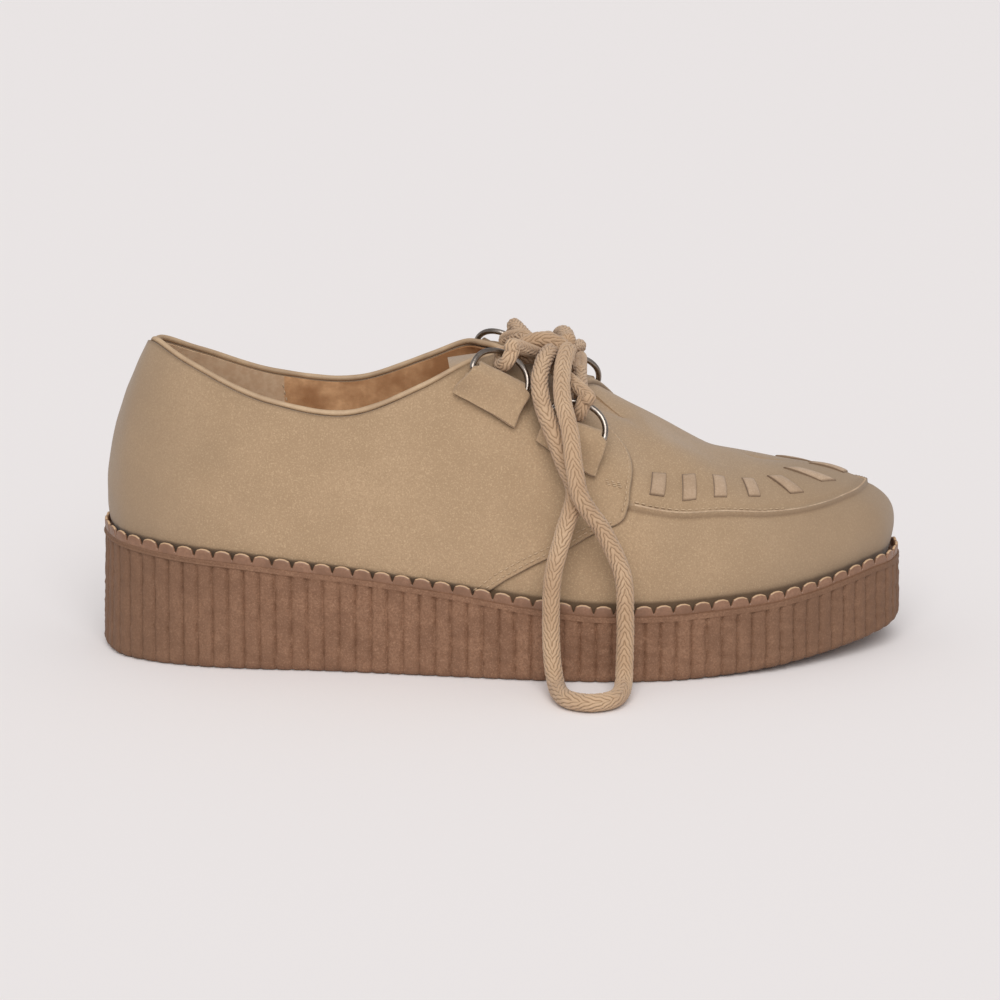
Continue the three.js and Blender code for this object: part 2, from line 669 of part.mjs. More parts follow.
function insoleGeometry() {
  const { points, add } = ringStore();
  const inset = FOOT_INSET + WALL + GAP + INSOLE_MARGIN;
  const ring = (lift) => add(ringShares(INSOLE_STEPS).map((share) => {
    const point = edgeAt(share, inset);
    return point.setZ(footbed(point.x) + GAP + lift);
  }));
  const [low, high] = [ring(0), ring(INSOLE_THICKNESS)];
  return closedGeometry(points, [...pointedCap(low), ...stitch(low, high), ...flip(pointedCap(high))]);
}

// The tongue follows the inside of the throat and runs back past its top
function tongueGeometry() {
  const { points, add } = ringStore();
  const depth = WALL + TONGUE_CLEARANCE;
  const shares = [0.6, 0.63, 0.66, 0.69, 0.72, 0.75, 0.78];
  const crossing = (q) => [
    [OUTER, 0.72], [OUTER, 0.84], [OUTER, 0.97], [INNER, 0.97], [INNER, 0.84], [INNER, 0.72],
  ].map(([side, v]) => onUpper(side, q, v, -depth));
  const rows = shares.map(crossing);
  const back = rows[0].map((point, k) => {
    const heading = point.clone().sub(rows[1][k]).normalize();
    const taper = new THREE.Vector3(0, -point.y * TONGUE_TAPER, -TONGUE_DROP);
    return point.clone().addScaledVector(heading, TONGUE_REACH).setZ(point.z).add(taper);
  });
  const outline = [back, ...rows].map((row) => {
    const low = row.map((point) => point.clone().add(new THREE.Vector3(0, 0, -TONGUE_THICKNESS)));
    return add([...row, ...low.reverse()]);
  });
  const walls = outline.slice(1).flatMap((ring, k) => stitch(outline[k], ring));
  return closedGeometry(points, [...walls, ...bluntCap(outline[0]), ...flip(bluntCap(outline.at(-1)))]);
}

// The rolled edge of the collar, one ring of points over each column of the upper's rim
function bindingGeometry() {
  const columns = UPPER_COLUMNS.filter((column) => column <= BINDING_END + 0.01);
  const path = [
    ...[...columns].reverse().map((q) => ({ side: OUTER, q })),
    ...columns.slice(1).map((q) => ({ side: INNER, q })),
  ].map(({ side, q }) => {
    const top = upperPoint(side, q, 1);
    const rising = top.clone().sub(upperPoint(side, q, 0.97)).normalize();
    return onUpper(side, q, 1, (QUARTER_STEP - WALL) / 2)
      .addScaledVector(rising, BINDING_DIAMETER / 2 + BINDING_SEAT);
  });
  return tube(path, BINDING_DIAMETER / 2, 6, false);
}

// A round bar along a list of points, closed on itself or with flat ends
function tube(path, radius, sides, closed) {
  const { points, add } = ringStore();
  const count = path.length;
  const at = (k) => (closed ? path[(k + count) % count] : path[Math.min(Math.max(k, 0), count - 1)]);
  const headings = path.map((unused, k) => at(k + 1).clone().sub(at(k - 1)).normalize());
  let out = new THREE.Vector3(0, 0, 1).cross(headings[0]).normalize();
  const rings = path.map((centre, k) => {
    out = out.clone().addScaledVector(headings[k], -out.dot(headings[k])).normalize();
    const up = headings[k].clone().cross(out);
    return add(range(sides).map((j) => {
      const angle = j / sides * 2 * Math.PI;
      return centre.clone()
        .addScaledVector(out, radius * Math.cos(angle))
        .addScaledVector(up, radius * Math.sin(angle));
    }));
  });
  const walls = rings.slice(1).flatMap((ring, k) => stitch(rings[k], ring));
  if (closed) {
    return closedGeometry(points, [...walls, ...stitch(rings.at(-1), rings[0])]);
  }
  const fan = (ring) => range(sides - 2).map((j) => [ring[0], ring[j + 1], ring[j + 2]]);
  return closedGeometry(points, [...walls, ...fan(rings[0]), ...flip(fan(rings.at(-1)))]);
}

// The place of one ring on the quarter: a flat frame at its bar, and the quarter's own face under that frame
function ringSeat(ring) {
  const side = ring.side === 'outer' ? OUTER : INNER;
  const normal = upperNormal(side, ring.q, ring.v);
  const heading = new THREE.Vector3(THROAT_HEADING.x, -side * THROAT_HEADING.y, THROAT_HEADING.z);
  const along = heading.addScaledVector(normal, -heading.dot(normal)).normalize();
  const across = normal.clone().cross(along).multiplyScalar(-side);
  const centre = onUpper(side, ring.q, ring.v, 0);
  const plan = (q, v) => {
    const offset = onUpper(side, q, v, 0).sub(centre);
    return [offset.dot(along), offset.dot(across)];
  };
  const flat = (a, b, height) => centre.clone()
    .addScaledVector(along, a)
    .addScaledVector(across, b)
    .addScaledVector(normal, height + QUARTER_STEP + RING_LIFT);
  const onQuarter = (a, b, height) => {
    let [q, v] = [ring.q, ring.v];
    const step = 0.005;
    range(5).forEach(() => {
      const [here, nextQ, nextV] = [plan(q, v), plan(q + step, v), plan(q, v + step)];
      const [qa, qb] = [(nextQ[0] - here[0]) / step, (nextQ[1] - here[1]) / step];
      const [va, vb] = [(nextV[0] - here[0]) / step, (nextV[1] - here[1]) / step];
      const [da, db] = [a - here[0], b - here[1]];
      const spread = qa * vb - va * qb;
      q += (vb * da - va * db) / spread;
      v += (qa * db - qb * da) / spread;
    });
    return onUpper(side, q, v, QUARTER_STEP + height);
  };
  return { flat, onQuarter };
}

const FOLD_RADIUS = RING_WIRE / 2 + RING_PLAY + TAB_LEATHER;
const FOLD_HEIGHT = FOLD_RADIUS + GAP;

// A suede tab: its body lies on the quarter, and its narrower neck folds round the ring's bar
function tabGeometry(ring) {
  const { flat, onQuarter } = ringSeat(ring);
  const profile = new THREE.Shape();
  const [bend, bent] = [-TAB_LENGTH / 2, TAB_SHOULDER / (TAB_LENGTH / 2)];
  const layered = TAB_SEAT + 2 * TAB_LEATHER;
  profile.moveTo(-TAB_LENGTH, TAB_SEAT);
  profile.lineTo(bend, TAB_SEAT);
  profile.lineTo(-TAB_SHOULDER, mix(GAP, TAB_SEAT, bent));
  profile.lineTo(0, GAP);
  profile.absarc(0, FOLD_HEIGHT, FOLD_RADIUS, -Math.PI / 2, Math.PI / 2, false);
  profile.lineTo(-TAB_SHOULDER, mix(FOLD_HEIGHT + FOLD_RADIUS, layered, bent));
  profile.lineTo(bend, layered);
  profile.lineTo(-TAB_LENGTH, TAB_SEAT + TAB_LEATHER);
  const bore = new THREE.Path();
  bore.absarc(0, FOLD_HEIGHT, RING_WIRE / 2 + RING_PLAY, 0, 2 * Math.PI, true);
  profile.holes.push(bore);
  const strap = new THREE.ExtrudeGeometry(profile, {
    depth: TAB_WIDTH, steps: 4, bevelEnabled: false, curveSegments: 4,
  });
  const position = strap.getAttribute('position');
  range(position.count).forEach((i) => {
    const [reach, height, depth] = [position.getX(i), position.getY(i), position.getZ(i)];
    const lifted = THREE.MathUtils.smoothstep(
      reach, -TAB_LENGTH * TAB_LIFT_START, -TAB_LENGTH * TAB_LIFT_END,
    );
    const necked = THREE.MathUtils.smoothstep(reach, -TAB_SHOULDER, 0);
    const a = (depth - TAB_WIDTH / 2) * mix(1, TAB_NECK, necked);
    const b = reach * (1 + TAB_SLANT * (1 - lifted) * a * 2 / TAB_WIDTH);
    const point = onQuarter(a, b, height).lerp(flat(a, b, height), lifted);
    position.setXYZ(i, point.x, point.y, point.z);
  });
  return welded(strap);
}

// A D-shaped wire ring whose straight bar lies in the tab's fold
function ringGeometry(ring) {
  const { flat } = ringSeat(ring);
  const lean = THREE.MathUtils.degToRad(RING_LEAN);
  const half = (RING_WIDTH - RING_WIRE) / 2;
  const depth = RING_DEPTH - RING_WIRE;
  const place = (a, b) => flat(a, b * Math.cos(lean), FOLD_HEIGHT + b * Math.sin(lean));
  const bow = range(11).map((k) => k / 10 * Math.PI);
  const path = [
    place(-half / 2, 0),
    place(half / 2, 0),
    ...bow.map((angle) => place(half * Math.cos(angle), depth * Math.sin(angle) ** RING_SQUARENESS)),
  ];
  return tube(path, RING_WIRE / 2, 6, true);
}

const LACE_SIDES = 8;
const LACE_STEPS = 1.6;

// The lace's way round one ring: in from under the arc, up through the ring and back over the arc
function laceTurn(ring) {
  const { flat } = ringSeat(ring);
  const lean = THREE.MathUtils.degToRad(RING_LEAN);
  const place = (b, h) => flat(
    0, b * Math.cos(lean) - h * Math.sin(lean), FOLD_HEIGHT + b * Math.sin(lean) + h * Math.cos(lean),
  );
  const arc = RING_DEPTH - RING_WIRE;
  const turn = (RING_WIRE + LACE_PRESSED) / 2 + LACE_GAP;
  const quarter = turn * Math.SQRT1_2;
  return [
    place(arc + turn / 2, -turn),
    place(arc, -turn),
    place(arc - quarter, -quarter),
    place(arc - turn, 0),
    place(arc - quarter, quarter),
    place(arc, turn),
    place(arc + turn / 2, turn),
  ];
}

// A length of lace along a smooth route, with a few steps between each two of its points
function laceGeometry(route, diameter) {
  const section = new THREE.Shape(range(LACE_SIDES).map((k) => {
    const angle = k / LACE_SIDES * 2 * Math.PI;
    return new THREE.Vector2(Math.cos(angle), Math.sin(angle)).multiplyScalar(diameter / 2);
  }));
  const path = new THREE.CatmullRomCurve3(route);
  const steps = Math.round(route.length * LACE_STEPS);
  return welded(new THREE.ExtrudeGeometry(section, { steps, bevelEnabled: false, extrudePath: path }));
}

const ringCalled = (side, name) => RINGS.find((ring) => ring.side === side && ring.name === name);

// Both halves of the lace meet in the middle of the bar, and cross under the knot
function laceCrossingsGeometry() {
  const half = (near, far, overEdge) => laceGeometry([
    placed(LACE_BAR_MIDDLE),
    ...laceTurn(ringCalled(near, 'lower')),
    placed(LACE_CROSSING),
    ...overEdge.map(placed),
    ...laceTurn(ringCalled(far, 'upper')),
    placed(LACE_IN_KNOT),
  ], LACE_PRESSED);
  return joined([half('outer', 'inner', [LACE_OVER_EDGE]), half('inner', 'outer', [])]);
}

const shoe = new THREE.Group();
shoe.add(
  piece('outsole', outsoleGeometry(), rubber),
  piece('rand', randGeometry(), rubber),
  piece('upper', upperGeometry(), suede),
  piece('insole', insoleGeometry(), lining),
  piece('tongue', tongueGeometry(), suede),
  piece('collar_binding', bindingGeometry(), edging),
);
RINGS.forEach((ring) => {
  shoe.add(
    piece(`ring_tab_${ring.side}_${ring.name}`, tabGeometry(ring), suede),
    piece(`ring_${ring.side}_${ring.name}`, ringGeometry(ring), nickel),
  );
});

shoe.add(
  piece('lace_crossings', laceCrossingsGeometry(), cotton),
  piece('lace_knot', laceGeometry(KNOT_ROUTE.map(toPoint), LACE_DIAMETER), cotton),
  piece('lace_loop_outer', laceGeometry(OUTER_LOOP.map(toPoint), LACE_DIAMETER), cotton),
  piece('lace_loop_inner', laceGeometry(INNER_LOOP.map(toPoint), LACE_DIAMETER), cotton),
);
export default shoe;
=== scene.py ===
"""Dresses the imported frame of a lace-up creeper shoe for the right foot.

Suede quarters lie over a vamp with a woven apron, a braided lace runs through four rings, and a notched
rand sits on a thick ribbed sole. Shapes are worked out in millimetres in the part's own frame, and written
in metres.
"""

import logging
import math
from dataclasses import dataclass, field
from enum import Enum
from functools import cached_property
from itertools import accumulate
import bmesh
import bpy
import numpy as np
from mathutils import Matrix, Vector


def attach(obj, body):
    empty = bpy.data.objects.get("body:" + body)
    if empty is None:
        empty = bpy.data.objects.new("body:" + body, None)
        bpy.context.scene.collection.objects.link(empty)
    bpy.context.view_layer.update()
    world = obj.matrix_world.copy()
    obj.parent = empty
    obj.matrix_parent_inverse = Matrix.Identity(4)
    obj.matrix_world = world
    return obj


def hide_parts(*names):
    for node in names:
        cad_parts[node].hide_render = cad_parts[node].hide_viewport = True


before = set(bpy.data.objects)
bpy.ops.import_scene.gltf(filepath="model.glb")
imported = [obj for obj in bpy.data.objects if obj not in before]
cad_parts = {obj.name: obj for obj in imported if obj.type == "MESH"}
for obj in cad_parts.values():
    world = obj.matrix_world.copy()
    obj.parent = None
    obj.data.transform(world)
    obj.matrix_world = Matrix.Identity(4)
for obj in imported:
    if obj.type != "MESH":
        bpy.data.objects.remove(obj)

Array = np.ndarray
Point = tuple[float, float, float]
Colour = tuple[float, float, float, float]
Socket = bpy.types.NodeSocket
Node = bpy.types.Node

LOG = logging.getLogger("creeper")
MM = 0.001
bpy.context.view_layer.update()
BODY = "root"
# Rough lengths round one side of the upper and up one of its hoops, for distances told in q and v.
SIDE_RUN = 370.0
HOOP_RUN = 62.0
# The angle, in degrees, under which the edges of rope and thread are drawn smooth.
SMOOTH_ROPE = 89.0


class Side(Enum):
    """The shoe's two sides, by the sign of Y."""

    OUTER = -1
    INNER = 1


class Slot(Enum):
    """The record's material slots."""

    SOLE = "sole"
    SUEDE = "suede"
    LINING = "lining"
    EDGING = "edging"
    NICKEL = "nickel"
    COTTON = "cotton"


# The sole's edge: share of its length from the heel's back, and share of the ball's width.
OUTER_EDGE = (
    (0.0, 0.02), (0.02, -0.157), (0.06, -0.252), (0.12, -0.317), (0.19, -0.352), (0.286, -0.377),
    (0.382, -0.416), (0.473, -0.455), (0.54, -0.481), (0.623, -0.5), (0.708, -0.483), (0.811, -0.404),
    (0.864, -0.335), (0.919, -0.239), (0.957, -0.156), (0.988, -0.06),
)
INNER_EDGE = (
    (1.003, 0.09), (0.988, 0.225), (0.935, 0.355), (0.85, 0.455), (0.75, 0.5), (0.66, 0.493),
    (0.55, 0.435), (0.42, 0.375), (0.3, 0.355), (0.19, 0.365), (0.085, 0.315), (0.022, 0.19),
)
# The rand's top: share of the length, and share of the heel's height.
RAND_TOP = (
    (0.0, 1.02), (0.065, 0.97), (0.121, 0.935), (0.185, 0.903), (0.257, 0.853), (0.32, 0.815),
    (0.426, 0.738), (0.54, 0.634), (0.6, 0.594), (0.68, 0.588), (0.75, 0.602), (0.85, 0.643),
    (0.89, 0.677), (0.93, 0.726), (0.96, 0.758), (1.0, 0.77),
)
# The upper's hoops. Columns: share round the side, the top's place along, its place across and height on the
# outer side, the same on the inner side, lean of the foot, rise, fall, and the top's tilt on either side.
HOOPS = (
    (0.00, 0.070, 0.006, 0.975, 0.006, 0.975, 6, 0.20, 0.26, 62, 62),
    (0.07, 0.079, -0.075, 0.995, 0.090, 0.975, 6, 0.20, 0.24, 66, 66),
    (0.17, 0.125, -0.178, 0.940, 0.168, 0.925, 6, 0.20, 0.20, 74, 74),
    (0.29, 0.225, -0.256, 0.835, 0.248, 0.835, 7, 0.18, 0.16, 80, 80),
    (0.38, 0.320, -0.277, 0.805, 0.270, 0.815, 8, 0.17, 0.16, 82, 82),
    (0.46, 0.405, -0.272, 0.885, 0.265, 0.885, 8, 0.18, 0.18, 74, 74),
    (0.52, 0.458, -0.235, 0.950, 0.235, 0.940, 9, 0.19, 0.22, 56, 56),
    (0.56, 0.480, -0.150, 0.955, 0.150, 0.950, 10, 0.20, 0.26, 38, 38),
    (0.60, 0.500, -0.085, 0.945, 0.085, 0.950, 10, 0.21, 0.28, 24, 20),
    (0.65, 0.545, -0.068, 0.855, 0.062, 0.895, 10, 0.22, 0.30, 22, 12),
    (0.70, 0.600, -0.035, 0.772, 0.035, 0.815, 10, 0.23, 0.30, 20, 8),
    (0.75, 0.650, -0.002, 0.718, -0.002, 0.718, 10, 0.23, 0.28, 8, -6),
    (0.81, 0.705, 0.020, 0.643, 0.020, 0.643, 10, 0.22, 0.25, 1, 1),
    (0.87, 0.760, 0.035, 0.610, 0.035, 0.610, 12, 0.21, 0.23, 1, 1),
    (0.93, 0.800, 0.045, 0.588, 0.045, 0.588, 16, 0.21, 0.21, 1, 1),
    (1.00, 0.840, 0.060, 0.575, 0.060, 0.575, 18, 0.21, 0.24, 4, 4),
)
# The quarter's front edge (v, q), the apron's seam (q, v) and the woven strips (q, v at both ends).
QUARTER_EDGE = (
    (0, 0.465), (0.135, 0.5), (0.22, 0.535), (0.3, 0.583), (0.36, 0.628), (0.42, 0.644),
    (0.5, 0.657), (0.6, 0.674), (0.7, 0.685), (0.8, 0.687), (1, 0.7),
)
APRON_SEAM = (
    (0, 0.43), (0.65, 0.435), (0.7, 0.423), (0.76, 0.41),
    (0.85, 0.41), (0.9, 0.427), (0.95, 0.465), (1, 0.52),
)
STRIPS = (
    (0.686, 0.5, 0.706, 0.612), (0.719, 0.48, 0.738, 0.6), (0.756, 0.483, 0.776, 0.605),
    (0.803, 0.497, 0.818, 0.615), (0.862, 0.51, 0.86, 0.645), (0.93, 0.57, 0.914, 0.73),
    (1.0, 0.64, 1.0, 0.82),
)
# The rings: side, name, and where the middle of each bar sits on the quarter (q, v).
RINGS = (
    (Side.OUTER, "upper", 0.54, 0.877),
    (Side.OUTER, "lower", 0.615, 0.652),
    (Side.INNER, "upper", 0.54, 0.855),
    (Side.INNER, "lower", 0.626, 0.68),
)


def through(rows: tuple, column: int, at: Array) -> Array:
    """A smooth curve through one column of a table, by its first column, flat beyond the ends.

    Each stretch is a cubic whose end slopes are the means of the slopes on both sides, weighted by widths.

    Args:
        rows: the table, sorted by its first column.
        column: the column that holds the values.
        at: where to read the curve.

    Returns:
        The curve's values.
    """
    table = np.asarray(rows, float)
    keys, values = table[:, 0], table[:, column]
    t = np.clip(at, keys[0], keys[-1])
    widths, slopes = np.diff(keys), np.diff(values) / np.diff(keys)
    tangents = np.empty_like(values)
    tangents[1:-1] = (slopes[:-1] * widths[1:] + slopes[1:] * widths[:-1]) / (widths[1:] + widths[:-1])
    tangents[0], tangents[-1] = slopes[0], slopes[-1]
    i = np.clip(np.searchsorted(keys, t, side="right") - 1, 0, len(keys) - 2)
    h = widths[i]
    return hermite((t - keys[i]) / h, values[i], values[i + 1], h * tangents[i], h * tangents[i + 1])


def hermite(t: Array, start: Array, end: Array, leave: Array, arrive: Array) -> Array:
    """The cubic from a start to an end with given slopes at both.

    Args:
        t: the share of the way, from 0 to 1.
        start: the value at 0.
        end: the value at 1.
        leave: the slope at 0, for the whole way.
        arrive: the slope at 1, for the whole way.

    Returns:
        The cubic's values.
    """
    rise = t * t * (3 - 2 * t)
    return start * (1 - rise) + end * rise + (t**3 - 2 * t**2 + t) * leave + (t**3 - t**2) * arrive


def smooth(x: Array, low: float, high: float) -> Array:
    """A smooth step from 0 at low to 1 at high: 3 t squared less 2 t cubed."""
    t = np.clip((np.asarray(x, float) - low) / (high - low), 0, 1)
    return t * t * (3 - 2 * t)


def bump(x: Array, width: float) -> Array:
    """A bell of height 1 at 0, which falls to a third at width."""
    return np.exp(-((np.asarray(x, float) / width) ** 2))


def unit(vectors: Array) -> Array:
    """The vectors at length 1."""
    return vectors / np.maximum(np.linalg.norm(vectors, axis=-1, keepdims=True), 1e-9)


def run_lengths(path: Array) -> Array:
    """The way along a path at each of its points."""
    return np.r_[0, np.cumsum(np.linalg.norm(np.diff(path, axis=0), axis=1))]


def read_at(ways: Array, lengths: Array, data: Array) -> Array:
    """Rows of three numbers read off at ways along a path."""
    return np.stack([np.interp(ways, lengths, data[:, k]) for k in range(3)], -1)


def there_and_back(share: Array) -> tuple[Array, Array]:
    """Sides and shares q of a line that takes shares on the outer side, then back on the inner one."""
    return np.r_[-np.ones(len(share)), np.ones(len(share) - 1)], np.r_[share, share[::-1][1:]]


def ripple(points: Array, wavelength: float, seed: int) -> Array:
    """Soft noise from -1 to 1: the mean of plane waves in fixed, seeded directions.

    Args:
        points: the places, in millimetres, with X, Y, Z last.
        wavelength: the typical distance between swells.
        seed: picks the directions and phases.

    Returns:
        One value for each place.
    """
    dice = np.random.default_rng(seed)
    waves = 7
    directions = unit(dice.normal(size=(3, waves)).T).T
    stretch = dice.uniform(0.7, 1.5, waves)
    phase = dice.uniform(0, 2 * math.pi, waves)
    return np.sin(points @ directions * (2 * math.pi / wavelength * stretch) + phase).mean(axis=-1) * 2


@dataclass(frozen=True)
class Form:
    """The shoe's curves and surfaces, from the same sizes and tables as the part."""

    sole_length: float = 290.0
    ball_width: float = 106.6
    heel_height: float = 46.5
    collar_height: float = 115.0
    toe_spring: float = 8.0
    spring_start: float = 0.68
    sole_flare: float = 2.0
    rand_height: float = 3.8
    rand_thickness: float = 2.5
    foot_clearance: float = 0.9
    wall: float = 2.0
    gap: float = 0.3
    quarter_step: float = 1.4
    binding: float = 2.4
    slit_end: float = 0.75
    binding_end: float = 0.6

    @property
    def foot_inset(self) -> float:
        """How far inside the sole's edge the foot of the upper stands."""
        return self.sole_flare + self.rand_thickness + self.gap + self.foot_clearance

    @cached_property
    def _outline(self) -> tuple[Array, Array, float, float]:
        """The sole's edge.

        Returns:
            Its control points, the length at each of its fine steps, its whole length, and the toe tip's
            share of it.
        """
        control = np.array(OUTER_EDGE + INNER_EDGE) * [self.sole_length, self.ball_width]
        control -= [self.sole_length / 2, 0]
        steps = 1200
        points, _ = self._curve(control, np.linspace(0, 1, steps + 1))
        lengths = run_lengths(points)
        tip = lengths[round(steps * len(OUTER_EDGE) / len(control))] / lengths[-1]
        return control, lengths, lengths[-1], tip

    @staticmethod
    def _curve(control: Array, t: Array) -> tuple[Array, Array]:
        """The closed curve whose slope at each control point joins its neighbours.

        Args:
            control: the points that the curve passes through.
            t: shares of the way round, counted in control points.

        Returns:
            Points and tangents.
        """
        count = len(control)
        place = np.asarray(t, float) % 1 * count
        i = np.floor(place).astype(int) % count
        u = (place - np.floor(place))[..., None]
        before, here, after, beyond = (control[(i + k) % count] for k in (-1, 0, 1, 2))
        a, b = after - before, 2 * before - 5 * here + 4 * after - beyond
        c = 3 * here - before - 3 * after + beyond
        return 0.5 * (2 * here + a * u + b * u**2 + c * u**3), 0.5 * (a + 2 * b * u + 3 * c * u**2)

    @property
    def edge_length(self) -> float:
        """The length of the sole's edge, all round."""
        return self._outline[2]

    def edge(self, share: Array, inset: Array = 0.0) -> Array:
        """Plan points of the sole's edge, each moved at right angles to it.

        Args:
            share: shares of the edge's length, from the heel's back round the outer side.
            inset: how far the points move inward.

        Returns:
            Points with X and Y last.
        """
        control, lengths, whole, _ = self._outline
        t = np.interp(np.asarray(share, float) % 1 * whole, lengths, np.linspace(0, 1, len(lengths)))
        point, tangent = self._curve(control, t)
        tangent = unit(tangent)
        inward = np.stack([-tangent[..., 1], tangent[..., 0]], -1)
        return point + inward * np.asarray(inset, float)[..., None]

    def side_share(self, side: Array, q: Array) -> Array:
        """The share of the whole edge at the share q round one side."""
        tip = self._outline[3]
        return np.where(np.asarray(side) < 0, q * tip, 1 - q * (1 - tip))

    def ring_share(self, turn: Array) -> Array:
        """Shares round the whole edge for turns from 0 to 2: the outer side up to 1, then the inner one."""
        turn = np.asarray(turn, float)
        return np.where(turn <= 1, self.side_share(-1, turn), self.side_share(1, 2 - turn))

    def along(self, x: Array) -> Array:
        """The share of the sole's length at a place along X."""
        return x / self.sole_length + 0.5

    def rand_top(self, x: Array) -> Array:
        """The height of the rand's top."""
        return self.heel_height * through(RAND_TOP, 1, self.along(x))

    def footbed(self, x: Array) -> Array:
        """The height of the sole's top."""
        return self.rand_top(x) - self.rand_height

    def sole_under(self, x: Array) -> Array:
        """The height of the sole's underside: flat, then rising with the square of the way to the toe."""
        share = np.clip((self.along(x) - self.spring_start) / (1 - self.spring_start), 0, 1)
        return self.toe_spring * share**2

    def surface(self, side: Array, q: Array, v: Array) -> Array:
        """Points of the upper's outer face.

        Each hoop is a cubic Bezier curve from the wall's foot (v 0) to the collar, throat or ridge (v 1).

        Args:
            side: -1 on the outer side, 1 on the inner one.
            q: share of the way round the side, from the heel to the toe's tip.
            v: share of the way up the hoop.

        Returns:
            Points with X, Y, Z last.
        """
        side, q, v = np.broadcast_arrays(*(np.asarray(value, float) for value in (side, q, v)))
        outer = side < 0
        share = self.side_share(side, q)
        plan = self.edge(share, self.foot_inset)
        outward = unit(self.edge(share, -1.0) - self.edge(share))
        foot = np.concatenate([plan, (self.footbed(plan[..., 0]) + self.gap)[..., None]], -1)
        column = [through(HOOPS, k, q) for k in range(1, 11)]
        bound = smooth(q, self.binding_end, self.binding_end + 0.05)
        top = np.stack([
            (column[0] - 0.5) * self.sole_length,
            np.where(outer, column[1], column[3]) * self.ball_width,
            np.where(outer, column[2], column[4]) * self.collar_height
            - (self.binding + self.gap) * (1 - bound),
        ], -1)
        lean = np.radians(column[5])[..., None]
        tilt = np.radians(np.where(outer, column[8], column[9]))[..., None]
        rise, fall = (column[k][..., None] * self.collar_height for k in (6, 7))
        up = np.array([0.0, 0.0, 1.0])
        outward = np.concatenate([outward, np.zeros_like(outward[..., :1])], -1)
        spread = foot - top
        spread[..., 2] = 0
        first = foot + rise * (outward * np.sin(lean) + up * np.cos(lean))
        second = top + fall * (unit(spread) * np.cos(tilt) - up * np.sin(tilt))
        w = v[..., None]
        return (1 - w) ** 3 * foot + 3 * w * (1 - w) ** 2 * first + 3 * w**2 * (1 - w) * second + w**3 * top

    def normal(self, side: Array, q: Array, v: Array) -> Array:
        """The outward direction of the upper's face: square to its differences round and up.

        Args:
            side: -1 on the outer side, 1 on the inner one.
            q: share of the way round the side.
            v: share of the way up the hoop.

        Returns:
            Directions of length 1.
        """
        step = 0.004
        around = (self.surface(side, np.minimum(q + step, 1), v)
                  - self.surface(side, np.maximum(q - step, 0), v))
        upward = (self.surface(side, q, np.minimum(v + step, 1))
                  - self.surface(side, q, np.maximum(v - step, 0)))
        side = np.broadcast_to(np.asarray(side, float), around.shape[:-1])
        return unit(np.cross(around, upward) * -side[..., None])

    def lift(self, side: Array, q: Array, v: Array, height: Array) -> Array:
        """Points at a height over the upper's face."""
        return self.surface(side, q, v) + self.normal(side, q, v) * np.asarray(height, float)[..., None]


FORM = Form()


@dataclass
class Shape:
    """A mesh in the making: points in millimetres, faces of four numbers, and perhaps a map of the points."""

    points: Array
    faces: Array
    chart: Array | None = None

    @staticmethod
    def joined(shapes: list["Shape"]) -> "Shape":
        """Several shapes as one.

        Args:
            shapes: the shapes, all with a chart or all without.

        Returns:
            The one shape.
        """
        starts = np.cumsum([0, *[len(shape.points) for shape in shapes[:-1]]])
        chart = None if shapes[0].chart is None else np.concatenate([shape.chart for shape in shapes])
        return Shape(
            np.concatenate([shape.points for shape in shapes]),
            np.concatenate([shape.faces + start for shape, start in zip(shapes, starts)]),
            chart,
        )


def numbered(grid: Array) -> Array:
    """The number of each point of a grid."""
    return np.arange(grid[..., 0].size).reshape(grid.shape[:-1])


def grid_faces(numbers: Array, wrap: bool = False) -> Array:
    """Faces of a grid of point numbers; wrap joins its last column to its first."""
    grid = np.concatenate([numbers, numbers[:1]]) if wrap else numbers
    return np.stack([grid[:-1, :-1], grid[1:, :-1], grid[1:, 1:], grid[:-1, 1:]], -1).reshape(-1, 4)


def ring_faces(grid: Array) -> Array:
    """Faces of a grid that closes on itself both ways."""
    numbers = numbered(grid)
    return grid_faces(np.concatenate([numbers, numbers[:, :1]], 1), wrap=True)


def face_normals(points: Array, faces: Array) -> Array:
    """The direction of the surface at each point: the mean of its faces, each square to its two diagonals.

    Args:
        points: the points.
        faces: four point numbers for each face.

    Returns:
        One direction of length 1 for each point.
    """
    corners = points[faces]
    across = np.cross(corners[:, 2] - corners[:, 0], corners[:, 3] - corners[:, 1])
    total = np.zeros_like(points)
    np.add.at(total, faces.ravel(), np.repeat(across, 4, axis=0))
    return unit(total)


def plain(grid: Array, wrap: bool = False) -> Shape:
    """The faces of one grid of points."""
    return Shape(grid.reshape(-1, 3), grid_faces(numbered(grid), wrap))


def marked(mark: Array) -> Array:
    """A chart that holds a mark from 0 to 1 for each point."""
    return np.c_[np.clip(mark, 0, 1).ravel(), np.zeros(mark.size)]


def lidded(wall: Array, across: int, low: Array | float, high: Array | float) -> Shape:
    """A wall carried round the shoe and closed by two lids.

    A straight row joins each point of a lid's one side to its twin on the other, and a relief raises it.

    Args:
        wall: the wall's points, as turns by rows from bottom to top.
        across: points in each of a lid's rows.
        low: the relief of the lower lid.
        high: the relief of the upper lid.

    Returns:
        The closed shape.
    """
    half = len(wall) // 2
    share = np.linspace(0, 1, across)[None, :, None]
    shapes = [plain(wall, wrap=True)]
    for ring, relief in ((wall[:, 0], low), (wall[:, -1], high)):
        left, right = ring[: half + 1], np.concatenate([ring[:1], ring[:half - 1:-1]])
        sheet = left[:, None] * (1 - share) + right[:, None] * share
        sheet[..., 2] += relief
        shapes.append(plain(sheet))
    return Shape.joined(shapes)


